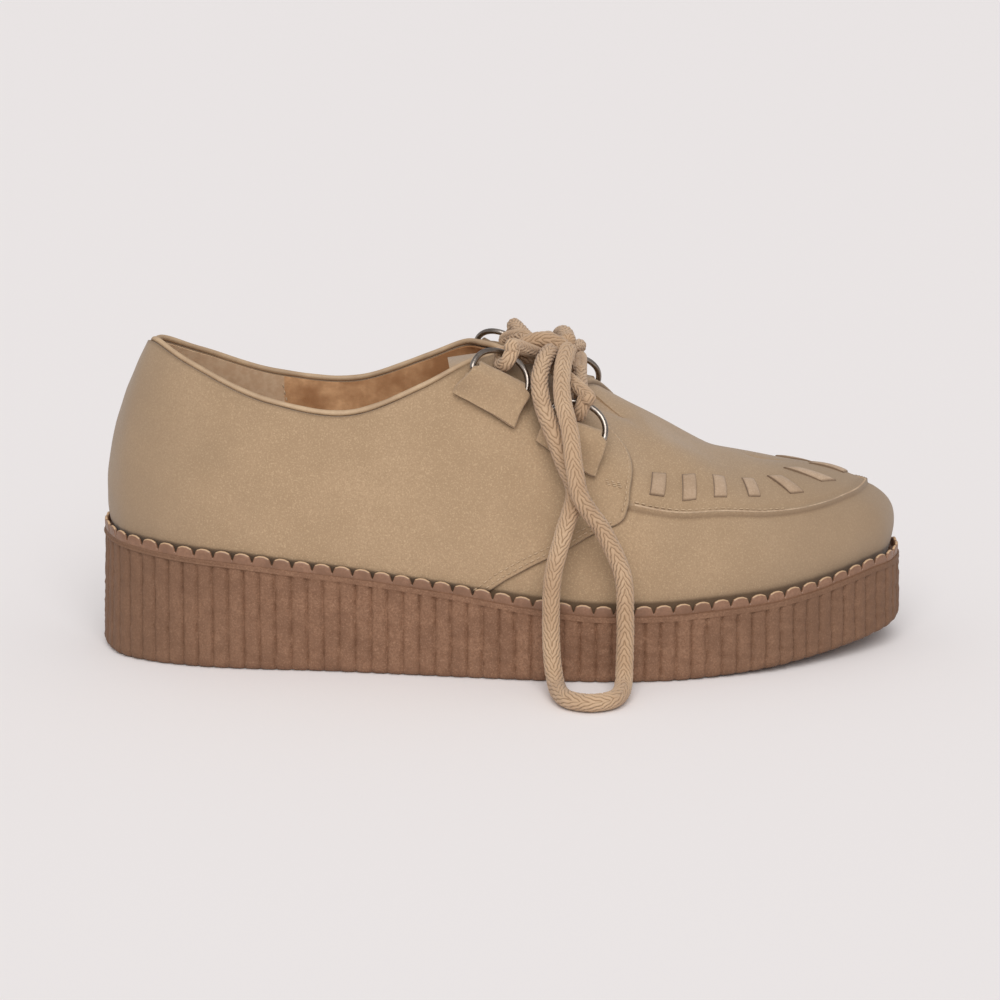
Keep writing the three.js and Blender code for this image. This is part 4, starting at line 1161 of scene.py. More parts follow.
@dataclass
class SuedeUpper:
    """The quarters, the vamp with its apron, the woven strips and the lining."""

    shop: Workshop
    leather: float = 1.4
    seam_rise: float = 1.1
    seam_width: float = 1.1
    strip_width: float = 5.2
    strip_rise: float = 1.1
    fullness: float = 1.2
    pipe: float = 0.8
    pipe_start: float = 0.652
    pucker_pitch: float = 2.9
    tuck: float = 0.045
    foot: float = 0.06
    crease_run: float = 75.0
    throat_run: float = 70.0
    vamp_back: float = -1.15
    strip_back: float = -0.6
    lining_front: float = -1.25
    lining_back: float = -1.95
    ridge_start: float = FORM.slit_end - 0.002
    saddle: int = 15
    # Soft creases: side, q and v at both ends, height in millimetres (a trough is less than 0) and width.
    creases: tuple = (
        (-1, 0.60, 0.30, 0.66, 0.52, -0.5, 5.0),
        (-1, 0.66, 0.22, 0.78, 0.34, -0.45, 6.0),
        (-1, 0.80, 0.18, 0.86, 0.34, 0.4, 7.0),
        (-1, 0.10, 0.35, 0.16, 0.75, -0.5, 7.0),
        (-1, 0.30, 0.62, 0.42, 0.55, -0.4, 6.0),
        (1, 0.60, 0.30, 0.68, 0.50, -0.5, 5.0),
        (1, 0.66, 0.22, 0.80, 0.32, -0.5, 6.0),
        (1, 0.12, 0.35, 0.18, 0.75, -0.5, 7.0),
    )

    def relief(self, side: Array, q: Array, v: Array, points: Array) -> Array:
        """The soft unevenness of worn suede: low swells, and the creases as bells about short lines.

        Args:
            side: -1 on the outer side, 1 on the inner one.
            q: share of the way round the side.
            v: share of the way up the hoop.
            points: the places themselves.

        Returns:
            Heights in millimetres.
        """
        scale = np.array([SIDE_RUN, self.crease_run])
        total = 0.22 * ripple(points, 46.0, 3) + 0.08 * ripple(points, 15.0, 4)
        total = total + self.fullness * smooth(q, 0.85, 0.97) * bump(v - 0.27, 0.16)
        for where, q0, v0, q1, v1, height, width in self.creases:
            start, end = scale * [q0, v0], scale * [q1, v1]
            here = np.stack([q, v], -1) * scale - start
            run = end - start
            t = np.clip((here @ run) / (run @ run), 0, 1)
            distance = np.linalg.norm(here - t[..., None] * run, axis=-1)
            crease = height * bump(distance, width) * (0.4 + 0.6 * np.sin(t * math.pi))
            total = total + np.where(side == where, crease, 0)
        return total * smooth(v, 0.0, 0.15)

    def quarters(self) -> None:
        """Both quarters as one sheet round the heel; columns close up towards the front edges."""
        spread = np.r_[np.linspace(0, 0.985, 170), 0.99, 0.994, 0.997, 0.999, 1.0]
        up = np.r_[np.linspace(0, 0.97, 80), 0.982, 0.99, 0.996, 1.0]
        u, v = np.meshgrid(np.r_[-spread[::-1], spread[1:]], up, indexing="ij")
        side = np.where(u < 0, -1.0, 1.0)
        q = np.abs(u) * quarter_front(v)
        points = FORM.surface(side, q, v)
        from_back, from_edge = q * SIDE_RUN, (quarter_front(v) - q) * SIDE_RUN
        open_top = smooth(q, 0.59, 0.61)
        from_throat = (1 - v) * self.throat_run / np.maximum(open_top, 0.01)
        near = np.minimum(from_edge, np.where(open_top > 0, from_throat, 1e3))
        rounded = 0.35 + 0.65 * np.sqrt(1 - (1 - np.clip(near / 0.9, 0, 1)) ** 2)
        back_seam = -0.5 * bump(from_back, 0.7)
        front = self.leather * rounded + self.relief(side, q, v, points) + back_seam
        front = front * (0.25 + 0.75 * smooth(v, 0.0, self.foot))
        back = 0.12 - 1.3 * smooth(v, 0.8, 0.9) * (1 - smooth(q, 0.5, 0.58))
        # The chart's mark is painted shade: at the foot above the rand, along the front edge and throat, in
        # the heel seam and under the binding.
        mark = foot_shade(v) + 0.6 * bump(near, 0.35) + 0.35 * bump(from_back, 0.5)
        mark = mark + 0.5 * bump((1 - v) * HOOP_RUN, 0.7)
        shape = shell(points, grid_faces(numbered(points))[:, ::-1], front, back, mark)
        self.shop.build("suede_quarters", shape, SUEDE, Slot.SUEDE, ("upper",))

    def bridged(self, points: Array, ridge: Array) -> Array:
        """Spans the dip that lies along the ridge in front of the throat with a smooth saddle.

        Args:
            points: the vamp's sheet, in rows from the outer side round the toe to the inner side.
            ridge: the share q at the ridge, for each row up to the toe.

        Returns:
            The sheet, in which cubic curves with the slopes of both sides cross the ridge.
        """
        columns, middle, reach = len(ridge), points.shape[1] - 1, self.saddle
        across = np.concatenate([points[:columns], points[columns - 1:][::-1, ::-1][:, 1:]], 1)
        first, last = middle - reach, middle + reach
        leave, arrive = across[:, first] - across[:, first - 1], across[:, last + 1] - across[:, last]
        t = np.linspace(0, 1, 2 * reach + 1)[None, :, None]
        bridge = hermite(t, across[:, first, None], across[:, last, None],
                         2 * reach * leave[:, None], 2 * reach * arrive[:, None])
        share = smooth(ridge, FORM.slit_end - 0.004, FORM.slit_end + 0.01) * (1 - smooth(ridge, 0.88, 0.96))
        share = share[:, None, None]
        across[:, first:last + 1] = across[:, first:last + 1] * (1 - share) + bridge * share
        outer, inner = across[:, :middle + 1], across[::-1, :middle - 1:-1][1:].copy()
        joined = ridge[::-1][1:, None] >= self.ridge_start
        inner[:, -1] = np.where(joined, inner[:, -1], points[columns:, -1])
        return np.concatenate([outer, inner])

    def vamp(self) -> None:
        """The vamp and apron as one sheet from quarter to quarter over the toe, closed along the ridge."""
        columns, seam_row = 150, 0.42
        up = np.r_[np.linspace(0, 1, 30) * seam_row, seam_row + (1 - seam_row) * np.linspace(0, 1, 44)[1:]]
        c, level = np.meshgrid(np.linspace(0, 1, columns), up, indexing="ij")
        seam = seam_height((quarter_front(level) - self.tuck) * (1 - c) + c)
        above = (level - seam_row) / (1 - seam_row)
        v = np.where(level <= seam_row, level / seam_row * seam, seam + above * (1 - seam))
        q = (quarter_front(v) - self.tuck) * (1 - c) + c
        q, v = (np.concatenate([half, half[::-1][1:]]) for half in (q, v))
        side = np.where(np.arange(len(q)) < columns, -1.0, 1.0)[:, None] * np.ones(q.shape)
        points = self.bridged(FORM.surface(side, q, v), q[:columns, -1])
        numbers = close_ridge(numbered(points), q, columns - 1, self.ridge_start)
        distance = (v - seam_height(q)) * HOOP_RUN
        on_vamp = smooth(q - quarter_front(v), -0.01, 0.0)
        pucker = 1 + 0.1 * np.sin(q * SIDE_RUN * 2 * math.pi / self.pucker_pitch)
        bead = self.seam_rise * bump(distance, self.seam_width / 2) * pucker
        ditch = -0.35 * bump(distance + 1.7, 0.7) - 0.3 * bump(distance - 1.7, 0.8)
        front = (bead + ditch + self.relief(side, q, v, points)) * on_vamp * smooth(v, 0.0, self.foot)
        front = np.where(on_vamp < 1, np.minimum(front, 0.05), front)
        behind = (q - quarter_front(v)) * SIDE_RUN
        # The chart's mark is painted shade: at the foot above the rand, just below the seam's bead and in
        # front of the quarter's edge.
        mark = foot_shade(v) + 0.55 * bump(distance + 0.7, 0.5) * on_vamp + 0.6 * bump(behind - 0.3, 0.7)
        shape = shell(points, grid_faces(numbers), front, self.vamp_back, mark)
        self.shop.build("suede_vamp", shape, SUEDE, Slot.SUEDE)

    def strips(self) -> None:
        """The woven strips: low pads with slightly proud sides, which dive into the apron at both ends."""
        step = self.strip_width / FORM.edge_length
        along = np.r_[0, 0.03, 0.08, np.linspace(0.15, 0.85, 9), 0.92, 0.97, 1]
        across = np.array([-1, -0.98, -0.9, -0.7, -0.35, 0, 0.35, 0.7, 0.9, 0.98, 1])
        a, b = np.meshgrid(along, across, indexing="ij")
        crown = (0.25 + 0.75 * np.sin(a * math.pi) ** 0.35) * (1 - 0.35 * np.abs(b) ** 3)
        # Painted shade along the strips' sides and at both ends, where they dive into the apron.
        mark = 0.8 * smooth(np.abs(b), 0.86, 1.0) + 0.8 * (1 - smooth(np.minimum(a, 1 - a), 0.0, 0.07))
        shapes = []
        for q0, v0, q1, v1 in STRIPS:
            for sign in ((-1.0,) if q0 == 1.0 else (-1.0, 1.0)):
                q = q0 + (q1 - q0) * a + b * step * (1 + 0.7 * smooth(q0, 0.82, 0.93))
                over = q > 1
                base = FORM.surface(np.where(over, -sign, sign), np.where(over, 2 - q, q), v0 + (v1 - v0) * a)
                faces = grid_faces(numbered(base))
                faces = faces if sign > 0 else faces[:, ::-1]
                shapes.append(shell(base, faces, self.strip_rise * crown, self.strip_back, mark))
        self.shop.build("apron_weave", Shape.joined(shapes), STRIP_SUEDE, Slot.SUEDE)

    def piping(self) -> None:
        """The thin pale piping that lies along the apron's seam, round the toe from quarter to quarter."""
        side, q = there_and_back(np.linspace(self.pipe_start, 1, 160))
        path = spline(FORM.lift(side, q, seam_height(q) + 0.006, self.pipe / 2), 0.7)
        path = path[1:-1] * 0.5 + (path[2:] + path[:-2]) * 0.25
        radius = self.pipe / 2 * (1 + 0.12 * ripple(path, 3.0, 9))
        self.shop.build("apron_piping", tube(path, radius, 10), PIPING, Slot.SUEDE)

    def lining(self) -> None:
        """The lining: a sheet a little inside the suede, from the collar down to the insole."""
        half = 120
        turn = np.linspace(0, 2, 2 * half + 1)[:-1]
        t, v = np.meshgrid(turn, np.linspace(0.02, 0.995, 46), indexing="ij")
        q = np.where(t <= 1, t, 2 - t)
        points = FORM.surface(np.where(t <= 1, -1.0, 1.0), q, v)
        numbers = close_ridge(numbered(points), q, half, FORM.slit_end)
        shape = shell(points, grid_faces(numbers, wrap=True), self.lining_front, self.lining_back)
        self.shop.build("leather_lining", shape, LINING, Slot.LINING)

    def build(self) -> None:
        """Makes all the pieces of the upper."""
        self.quarters()
        self.vamp()
        self.strips()
        self.piping()
        self.lining()


@dataclass
class CollarBinding:
    """The rolled edge of the collar."""

    shop: Workshop
    seat: float = -0.2
    start: float = 0.605
    samples: int = 120

    def build(self) -> None:
        """Makes the binding: a soft round bar along the rim, a little uneven in thickness."""
        side, q = there_and_back(np.linspace(self.start, 0, self.samples))
        rising = unit(FORM.surface(side, q, 1.0) - FORM.surface(side, q, 0.97))
        path = FORM.lift(side, q, 1.0, (FORM.quarter_step - FORM.wall) / 2)
        path = path + rising * (FORM.binding / 2 + self.seat)
        even = spline(path, 1.2)
        radius = FORM.binding / 2 * (0.84 + 0.05 * ripple(even, 9.0, 8))
        self.shop.build("collar_roll", tube(even, radius, 14), EDGING, Slot.EDGING, ("collar_binding",))


@dataclass
class Insole:
    """The insole inside the shoe."""

    shop: Workshop
    thickness: float = 3.0
    margin: float = 1.0
    dish: float = 0.5
    samples: int = 240
    lid_points: int = 14

    def build(self) -> None:
        """Makes the insole: the footbed's outline, dished a little, with a rounded edge."""
        share = FORM.ring_share(np.linspace(0, 2, self.samples, endpoint=False))
        inset = FORM.foot_inset + FORM.wall + FORM.gap + self.margin
        layers = []
        for extra, height in ((0.6, 0.0), (0.0, 0.3), (0.0, 0.75), (0.3, 0.93), (0.9, 1.0)):
            plan = FORM.edge(share, inset + extra)
            layers.append(np.c_[plan, FORM.footbed(plan[:, 0]) + FORM.gap + self.thickness * height])
        dish = -self.dish * np.sin(np.linspace(0, math.pi, self.lid_points))
        shape = lidded(np.stack(layers, 1), self.lid_points, 0.0, dish)
        self.shop.build("sock_insole", shape, LINING, Slot.LINING, ("insole",))


@dataclass
class Tongue:
    """The tongue under the throat."""

    shop: Workshop
    thickness: float = 2.4
    clearance: float = 1.1
    reach: float = 20.0
    drop: float = 3.0
    taper: float = 0.15

    def build(self) -> None:
        """Makes the tongue: a sheet under the throat, carried straight back past the throat's top."""
        v = np.linspace(0.72, 0.985, 16)
        side = np.repeat([-1.0, 1.0], len(v))
        q, v = np.meshgrid(np.linspace(0.6, 0.78, 40), np.r_[v, v[::-1]], indexing="ij")
        body = FORM.lift(side, q, v, -FORM.wall - self.clearance)
        heading = unit(body[0] - body[6])
        share = np.linspace(1, 0, 14)[:, None]
        back = body[0] + heading * share[..., None] * self.reach
        back[..., 2] = body[0, :, 2] - self.drop * share
        back[..., 1] *= 1 - self.taper * share**2
        sheet = np.concatenate([back[:-1], body])
        rounded = np.sqrt(np.clip(np.arange(len(sheet)) / 3, 0, 1))[:, None]
        shape = shell(sheet, grid_faces(numbered(sheet))[:, ::-1], -1.2 * (1 - rounded), -self.thickness)
        self.shop.build("suede_tongue", shape, SUEDE, Slot.SUEDE, ("tongue",))


@dataclass
class RingSeat:
    """The place of one lacing ring on its quarter: a flat frame at its bar."""

    side: Side
    name: str
    q: float
    v: float
    lift: float = 1.1
    lean: float = 13.0
    wire: float = 2.6
    width: float = 24.0
    depth: float = 12.8
    play: float = 0.3
    leather: float = 1.4
    heading: Point = (0.9, 0.14, -0.41)

    @cached_property
    def axes(self) -> tuple[Array, Array, Array, Array]:
        """The frame that the ring and its tab are laid out in.

        Returns:
            The bar's middle on the quarter, and the ways along the throat, across to it, and outward.
        """
        side = self.side.value
        normal = FORM.normal(side, self.q, self.v)
        along = np.array(self.heading) * [1, -side, 1]
        along = unit(along - normal * (along @ normal))
        across = np.cross(normal, along) * -side
        return FORM.surface(side, self.q, self.v), along, across, normal

    @property
    def fold(self) -> float:
        """The outer radius of the leather folded round the bar."""
        return self.wire / 2 + self.play + self.leather

    def flat(self, a: Array, b: Array, height: Array) -> Array:
        """Points of the flat frame over the quarter.

        Args:
            a: the way along the throat.
            b: the way across, towards the throat.
            height: the height over the frame.

        Returns:
            The points.
        """
        centre, along, across, normal = self.axes
        a, b, height = np.broadcast_arrays(a, b, height)
        return (centre + a[..., None] * along + b[..., None] * across
                + (height + FORM.quarter_step + self.lift)[..., None] * normal)

    def leaned(self, a: Array, b: Array, height: Array) -> Array:
        """Points of the ring's own plane, which leans off the quarter about the bar.

        Args:
            a: the way along the throat.
            b: the way across in the ring's plane.
            height: the height over that plane.

        Returns:
            The points.
        """
        lean = math.radians(self.lean)
        a, b, height = (np.asarray(value, float) for value in (a, b, height))
        return self.flat(a, b * math.cos(lean) - height * math.sin(lean),
                         self.fold + FORM.gap + b * math.sin(lean) + height * math.cos(lean))

    def on_quarter(self, a: Array, b: Array, height: Array) -> Array:
        """Points over the quarter's face that lie under the flat frame's, found by a few Newton steps.

        Args:
            a: the way along the throat.
            b: the way across, towards the throat.
            height: the height over the quarter's face.

        Returns:
            The points.
        """
        centre, along, across, _ = self.axes
        side = self.side.value
        a, b, height = (value.copy() for value in np.broadcast_arrays(a, b, height))
        q, v = np.full(a.shape, self.q), np.full(a.shape, self.v)
        step = 0.005
        for _ in range(5):
            probes = ((q, v), (q + step, v), (q, v + step))
            here, next_q, next_v = (FORM.surface(side, *probe) - centre for probe in probes)
            qa, qb = ((next_q - here) @ along) / step, ((next_q - here) @ across) / step
            va, vb = ((next_v - here) @ along) / step, ((next_v - here) @ across) / step
            da, db = a - here @ along, b - here @ across
            spread = qa * vb - va * qb
            q, v = q + (vb * da - va * db) / spread, v + (qa * db - qb * da) / spread
        return FORM.lift(side, q, v, FORM.quarter_step + height)

    def turn(self, lace: float, gap: float = 0.4) -> Array:
        """The lace's way round the ring: in under the arc, up through the ring, and back over the arc.

        Args:
            lace: the lace's diameter.
            gap: the air between lace and wire.

        Returns:
            The route's points.
        """
        arc, turn = self.depth - self.wire, (self.wire + lace) / 2 + gap
        part = turn * math.sqrt(0.5)
        b = np.array([arc + turn / 2, arc, arc - part, arc - turn, arc - part, arc, arc + turn / 2])
        h = np.array([-turn, -turn, -part, 0, part, turn, turn])
        return self.leaned(np.zeros(7), b, h)


@dataclass
class RingTab:
    """A suede tab on the quarter, and the ring that it holds."""

    shop: Workshop
    seat: RingSeat
    length: float = 9.5
    width: float = 23.0
    neck: float = 0.79
    shoulder: float = 2.2
    slant: float = 0.36
    rest: float = 0.45
    slim: float = 0.8

    def ring(self) -> None:
        """Makes the ring: a straight bar closed by a full round arc."""
        half, depth = (self.seat.width - self.seat.wire) / 2, self.seat.depth - self.seat.wire
        angle = np.linspace(0, math.pi, 60)
        a = np.r_[np.linspace(-half, half, 30)[1:-1], half * np.cos(angle)]
        b = np.r_[np.zeros(28), depth * np.sin(angle) ** 0.8]
        path = spline(self.seat.leaned(a, b, np.zeros(a.shape)), 0.7, closed=True)
        name = f"ring_{self.seat.side.name.lower()}_{self.seat.name}"
        bar = closed_bar(path, self.seat.wire / 2 * self.slim, 14)
        self.shop.build(f"nickel_{name}", bar, NICKEL, Slot.NICKEL, (name,))

    def tab(self) -> None:
        """Makes the tab: a strip that lies on the quarter and folds round the bar back under itself."""
        fold, leather = self.seat.fold, self.seat.leather
        turn = np.linspace(-math.pi / 2, math.pi / 2, 16)
        middle = fold - leather / 2
        high = fold + FORM.gap
        reach = np.linspace(-self.length, 0, 24)
        settle = smooth(reach, -self.length, -self.length * 0.25)
        top_height = (self.rest + leather * 1.1) * (1 - settle) + (high + middle) * settle
        low_height = (self.rest + leather * 0.4) * (1 - settle) + (high - middle) * settle
        b = np.r_[reach[6:], middle * np.cos(turn), reach[::-1][1:]]
        h = np.r_[low_height[6:], high + middle * np.sin(turn), top_height[::-1][1:]]
        across = np.r_[-1, -0.985, -0.95, np.linspace(-0.88, 0.88, 17), 0.95, 0.985, 1]
        grid_b, s = np.meshgrid(b, across, indexing="ij")
        grid_h = np.broadcast_to(h[:, None], s.shape)
        lifted = smooth(grid_b, -self.length * 0.7, -self.length * 0.3)
        a = s * self.width / 2 * (1 + (self.neck - 1) * smooth(grid_b, -self.shoulder, 0))
        skew = grid_b * (1 + self.slant * (1 - lifted) * s)
        corner = 1 - 0.03 * smooth(np.abs(s), 0.8, 1.0) * (1 - lifted)
        points = (self.seat.on_quarter(a, skew * corner, grid_h) * (1 - lifted[..., None])
                  + self.seat.flat(a, skew, grid_h) * lifted[..., None])
        points = points + 0.12 * ripple(points, 9.0, 11)[..., None] * self.seat.axes[3]
        round_edge = np.sqrt(np.clip(1 - ((np.abs(s) - 0.95) / 0.055).clip(0, 1) ** 2, 0.05, 1))
        thick = leather / 2 * round_edge
        name = f"ring_tab_{self.seat.side.name.lower()}_{self.seat.name}"
        shape = shell(points, grid_faces(numbered(points)), thick, -thick)
        self.shop.build(f"suede_{name}", shape, SUEDE, Slot.SUEDE, (name,))

    def build(self) -> None:
        """Makes both pieces."""
        self.ring()
        self.tab()


# The lace's routes, the same as the part's, in millimetres.
BAR_MIDDLE = (27.5, -1.1, 99.8)
CROSSING = (14.5, -4.1, 105.5)
OVER_EDGE = (8.4, 7.9, 110.6)
IN_KNOT = (14.5, -3.8, 105.7)
KNOT_ROUTE = (
    (23, -4, 103.6), (21, -4, 109.2), (14.5, -4, 111.7), (8, -4, 109.8), (5, -4, 104.6),
)
OUTER_LOOP = (
    (17, -11.5, 108.9), (16, -16, 108.9), (14.2, -22, 107), (12.8, -29.3, 102.2), (13.8, -36, 95.2),
    (17, -42.5, 87.2), (21, -47, 77), (24.5, -53, 68), (21, -55.5, 55), (17.3, -57, 40), (16.6, -58.5, 25),
    (17, -61.5, 12), (18.2, -67.5, 5), (19.6, -75, 3.6), (22.8, -81.6, 3.4), (29.6, -84.6, 3.4),
    (36.4, -81.6, 3.4), (39.8, -75, 3.6), (41.2, -67.5, 5), (41.8, -61.5, 12), (42, -58.5, 25), (41, -57, 40),
    (34.5, -56.8, 55), (26.8, -58.6, 67), (24.4, -55.8, 77), (23, -48.5, 88), (20.7, -38.5, 97),
    (20.7, -27, 104.5), (22.3, -16, 109), (23.2, -11.5, 109.6),
)
INNER_LOOP = (
    (17, 4.5, 109.8), (16.3, 10, 109.4), (15, 19, 106.6), (13, 28, 102), (10, 36, 93), (6.5, 42.5, 83),
    (4, 46.4, 72), (3.9, 49, 63.5), (6.3, 50.6, 56.6), (12.4, 51.2, 53.2), (18.6, 50.8, 57), (21.1, 49.8, 64),
    (21.3, 48.2, 73), (21.1, 44.5, 87), (20.8, 37, 98.6), (21, 27, 107.4), (22.4, 16, 110.3),
    (23, 9.5, 109.9), (23.3, 4.5, 109.8),
)


@dataclass
class RopeLace:
    """The braided lace: its run through the rings, the knot and the bow's two loops."""

    shop: Workshop
    seats: dict[tuple[Side, str], RingSeat]
    diameter: float = 5.8
    pressed: float = 4.9
    weave: float = 0.28
    stitch: float = 2.8
    slant: float = 1.8
    spacing: float = 0.34
    sides: int = 36
    towards: Point = (0.0, -0.95, 0.3)

    def phase(self, length: Array, angle: Array, facing: Array, diameter: float) -> Array:
        """Which plait of the braid lies at a length and angle: two columns of plaits meet at the front.

        The plaits run back from that line at a steady slope, so the phase is the length plus the way round,
        over one plait's width, and the second column is half a plait behind.

        Args:
            length: the way along the cord.
            angle: the way round it.
            facing: the angle that faces the viewer.
            diameter: the cord's diameter.

        Returns:
            The phase, which grows by 1 for each plait.
        """
        way = (angle - facing + math.pi / 2) % math.pi - math.pi / 2
        uneven = 0.4 * np.sin(length * 0.83) + 0.3 * np.sin(length * 2.1 + 3 * np.cos(angle - facing))
        return (length + diameter / 2 * self.slant * np.abs(way) + uneven) / self.stitch + (way > 0) / 2

    def rope(self, path: Array, diameter: float) -> Shape:
        """A braided cord, whose radius is the cord's with a round swell over each plait.

        Args:
            path: the cord's middle line.
            diameter: its diameter.

        Returns:
            The cord, whose chart holds the braid's phase and the angle.
        """
        out, up = frames(path)
        length = run_lengths(path)
        facing = np.unwrap(np.arctan2(up @ self.towards, out @ self.towards))
        angle = (np.arange(self.sides) / self.sides * 2 * math.pi)[None]
        phase = self.phase(length[:, None], angle, facing[:, None], diameter)
        swell = np.abs(np.sin(phase * math.pi)) ** 0.6
        swell = swell * (0.5 + 0.5 * np.minimum(1, 3 * np.abs(np.sin(angle - facing[:, None]))))
        shape = tube(path, diameter / 2 * (1 + self.weave * (swell - 0.75)), self.sides)
        run, turn = shape.chart.T
        shape.chart = np.stack([self.phase(run, turn, np.interp(run, length, facing), diameter), turn], -1)
        return shape

    def crossings(self) -> None:
        """Makes the lace's run: from the bar round each lower ring, under the knot, to the upper rings."""
        halves = []
        for near, far, over in ((Side.OUTER, Side.INNER, [OVER_EDGE]), (Side.INNER, Side.OUTER, [])):
            route = np.concatenate([
                [BAR_MIDDLE], self.seats[near, "lower"].turn(self.pressed), [CROSSING], *[[p] for p in over],
                self.seats[far, "upper"].turn(self.pressed), [IN_KNOT],
            ])
            halves.append(self.rope(spline(route, self.spacing), self.pressed))
        self.shop.build("lace_run", Shape.joined(halves), COTTON, Slot.COTTON, ("lace_crossings",),
                        sharp=SMOOTH_ROPE)

    def free(self, name: str, node: str, route: tuple[Point, ...]) -> None:
        """Args:
            name: the piece's name.
            node: the node that it stands for.
            route: the points that it passes through.
        """
        path = spline(np.array(route), self.spacing)
        piece = self.shop.build(name, self.rope(path, self.diameter), COTTON, Slot.COTTON, (node,),
                                sharp=SMOOTH_ROPE)

    def build(self) -> None:
        """Makes the run, the knot and both loops."""
        self.crossings()
        self.free("bow_outer_loop", "lace_loop_outer", OUTER_LOOP)
        self.free("bow_inner_loop", "lace_loop_inner", INNER_LOOP)
        knot = spline(np.array(KNOT_ROUTE), self.spacing)
        self.shop.build("bow_knot", self.rope(knot, self.diameter), COTTON, Slot.COTTON, ("lace_knot",),
                        sharp=SMOOTH_ROPE)


@dataclass
class Stitching:
    """Rows of short threads on the upper."""

    shop: Workshop
    thread: float = 0.55
    cover: float = 0.72
    on_quarter: float = FORM.quarter_step + 0.08
    rows: list[Shape] = field(default_factory=list)

    def row(self, side: float, q: Array, v: Array, height: float, pitch: float) -> None:
        """Adds a row of stitches: a small pillow-shaped thread at each step of a line on the upper.

        Args:
            side: -1 on the outer side, 1 on the inner one.
            q: the line's shares round the side.
            v: its shares up the hoop.
            height: how far it lies over the upper's face; less than 0 is inside the shoe.
            pitch: the distance from stitch to stitch.
        """
        q, v = np.broadcast_arrays(q, v)
        path = FORM.lift(side, q, v, height)
        lengths = run_lengths(path)
        at = np.arange(pitch / 2, lengths[-1], pitch)
        centre = read_at(at, lengths, path)
        up = read_at(at, lengths, FORM.normal(side, q, v) * np.sign(height))
        heading = unit(read_at(at, lengths, np.gradient(path, axis=0)))
        up = unit(up - heading * (up * heading).sum(-1, keepdims=True))
        s, angle = np.meshgrid(np.array([-1, -0.85, -0.45, 0, 0.45, 0.85, 1]), np.arange(6) / 3 * math.pi,
                               indexing="ij")
        thick = np.sqrt(1 - s**2) * self.thread / 2
        arch = thick * np.sin(angle) * 0.8 - 0.12 * s**2
        local = np.stack([s * pitch * self.cover / 2, thick * np.cos(angle), arch], -1)
        axes = np.stack([heading, np.cross(up, heading), up], 1)
        points = centre[:, None, None] + np.einsum("ijk,nkm->nijm", local, axes)
        numbers = numbered(points)
        numbers = np.concatenate([numbers, numbers[:, :, :1]], 2)
        faces = np.concatenate([grid_faces(stitch) for stitch in numbers])
        self.rows.append(Shape(points.reshape(-1, 3), faces))

    def beside_edge(self, side: float, low: float, high: float, distance: float, pitch: float) -> None:
        """A row behind the quarter's front edge, moved at right angles to it.

        Args:
            side: -1 on the outer side, 1 on the inner one.
            low: the height at which the row starts.
            high: the height at which it ends.
            distance: how far behind the edge it lies.
            pitch: the distance from stitch to stitch.
        """
        v = np.linspace(low, high, 160)
        q = quarter_front(v)
        around = FORM.surface(side, q + 0.002, v) - FORM.surface(side, q - 0.002, v)
        upward = FORM.surface(side, q, v + 0.004) - FORM.surface(side, q, v - 0.004)
        span = np.linalg.norm(around, axis=-1) / 0.004
        rise = np.linalg.norm(upward, axis=-1) / 0.008
        tilt = np.sqrt(1 + (np.gradient(q, v) * span / rise) ** 2)
        self.row(side, q - distance * tilt / span, v, self.on_quarter, pitch)

    def build(self) -> None:
        """Sews the rows beside the edges and seam, on the lining and across the edge, as one piece."""
        beside_seam = np.linspace(0.655, 0.83, 220)
        for side in (-1.0, 1.0):
            self.beside_edge(side, 0.03, 0.36, 1.5, 2.3)
            self.beside_edge(side, 0.03, 0.36, 3.2, 2.3)
            self.beside_edge(side, 0.40, 0.97, 1.5, 2.1)
            self.row(side, beside_seam, seam_height(beside_seam) + 1.3 / HOOP_RUN, 0.12, 2.4)
            self.row(side, 0.286, np.linspace(0.55, 0.96, 60), -2.0, 2.6)
            for v in (0.497, 0.505, 0.513):
                self.row(side, np.linspace(0.6295, 0.6465, 12), v, self.on_quarter, 2.1)
        self.shop.build("upper_stitches", Shape.joined(self.rows), THREAD, Slot.COTTON, sharp=SMOOTH_ROPE)


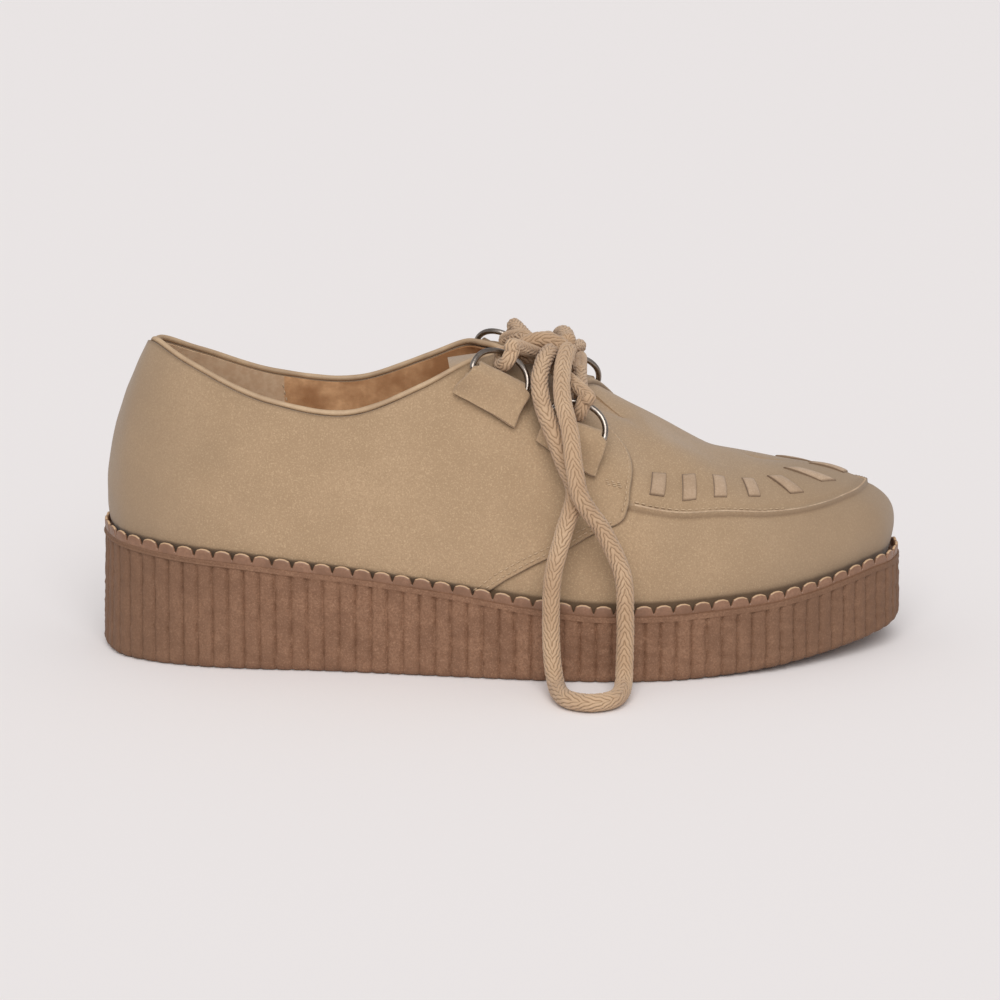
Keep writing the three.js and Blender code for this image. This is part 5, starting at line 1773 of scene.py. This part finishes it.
@dataclass
class Studio:
    """The photograph's viewpoint, a pale floor and soft light."""

    aim: Point = (0.0, 3.5, 45.0)
    distance: float = 1000.0
    elevation: float = 14.0
    focal_pixels: float = 2768.0
    frame_pixels: float = 1000.0
    aim_pixel: tuple[float, float] = (502.3, 518.2)
    sensor: float = 36.0
    surround: float = 0.5
    lamp_power: float = 2.0
    lamp_width: float = 48.0
    lamp_elevation: float = 42.0

    def camera(self) -> None:
        """Sets the camera: it looks along +Y and a little down, with a shift for the photograph's framing."""
        data = bpy.data.cameras.new("camera")
        data.sensor_width = self.sensor
        data.lens = self.focal_pixels / self.frame_pixels * self.sensor
        data.shift_x = (self.frame_pixels / 2 - self.aim_pixel[0]) / self.frame_pixels
        data.shift_y = (self.aim_pixel[1] - self.frame_pixels / 2) / self.frame_pixels
        data.clip_start, data.clip_end = 0.05, 20.0
        camera = bpy.data.objects.new("camera", data)
        bpy.context.scene.collection.objects.link(camera)
        elevation = math.radians(self.elevation)
        back = Vector((0.0, -math.cos(elevation), math.sin(elevation)))
        camera.location = (Vector(self.aim) + back * self.distance) * MM
        camera.rotation_euler = (-back).to_track_quat("-Z", "Y").to_euler()
        bpy.context.scene.camera = camera

    def floor(self) -> None:
        """Lays a wide pale floor."""
        mesh = bpy.data.meshes.new("floor")
        mesh.from_pydata([(-6, -6, 0), (6, -6, 0), (6, 6, 0), (-6, 6, 0)], [], [(0, 1, 2, 3)])
        material = bpy.data.materials.new("pale_floor")
        material.use_nodes = True
        shader = material.node_tree.nodes["Principled BSDF"]
        shader.inputs["Base Color"].default_value = (0.9, 0.86, 0.845, 1)
        shader.inputs["Roughness"].default_value = 0.9
        shader.inputs["Specular IOR Level"].default_value = 0.1
        mesh.materials.append(material)
        floor = bpy.data.objects.new("floor", mesh)
        bpy.context.scene.collection.objects.link(floor)

    def light(self) -> None:
        """Lights the scene: an even pale surround, and one very wide, soft lamp from above the viewer."""
        world = bpy.data.worlds.new("surround")
        world.use_nodes = True
        background = world.node_tree.nodes["Background"]
        background.inputs["Color"].default_value = (0.98, 0.975, 1.0, 1)
        background.inputs["Strength"].default_value = self.surround
        bpy.context.scene.world = world
        data = bpy.data.lights.new("soft_lamp", "SUN")
        data.energy, data.angle = self.lamp_power, math.radians(self.lamp_width)
        lamp = bpy.data.objects.new("soft_lamp", data)
        elevation = math.radians(self.lamp_elevation)
        towards = Vector((0.0, -math.cos(elevation), math.sin(elevation)))
        lamp.rotation_euler = (-towards).to_track_quat("-Z", "Y").to_euler()
        bpy.context.scene.collection.objects.link(lamp)
        bpy.context.scene.view_settings.view_transform = "Standard"

    def build(self) -> None:
        """Sets up the whole studio."""
        self.camera()
        self.floor()
        self.light()


def main() -> None:
    """Builds the studio and every part of the shoe in order."""
    logging.basicConfig(level=logging.INFO, format="%(name)s: %(message)s")
    Studio().build()
    shop = Workshop()
    seats = {(side, name): RingSeat(side, name, q, v) for side, name, q, v in RINGS}
    RopeLace(shop, seats).build()
    PlatformSole(shop).build()
    NotchedRand(shop).build()
    SuedeUpper(shop).build()
    CollarBinding(shop).build()
    Insole(shop).build()
    Tongue(shop).build()
    for seat in seats.values():
        RingTab(shop, seat).build()
    Stitching(shop).build()
    LOG.info("made %d pieces", len(shop.made))


if __name__ == "__main__":
    main()
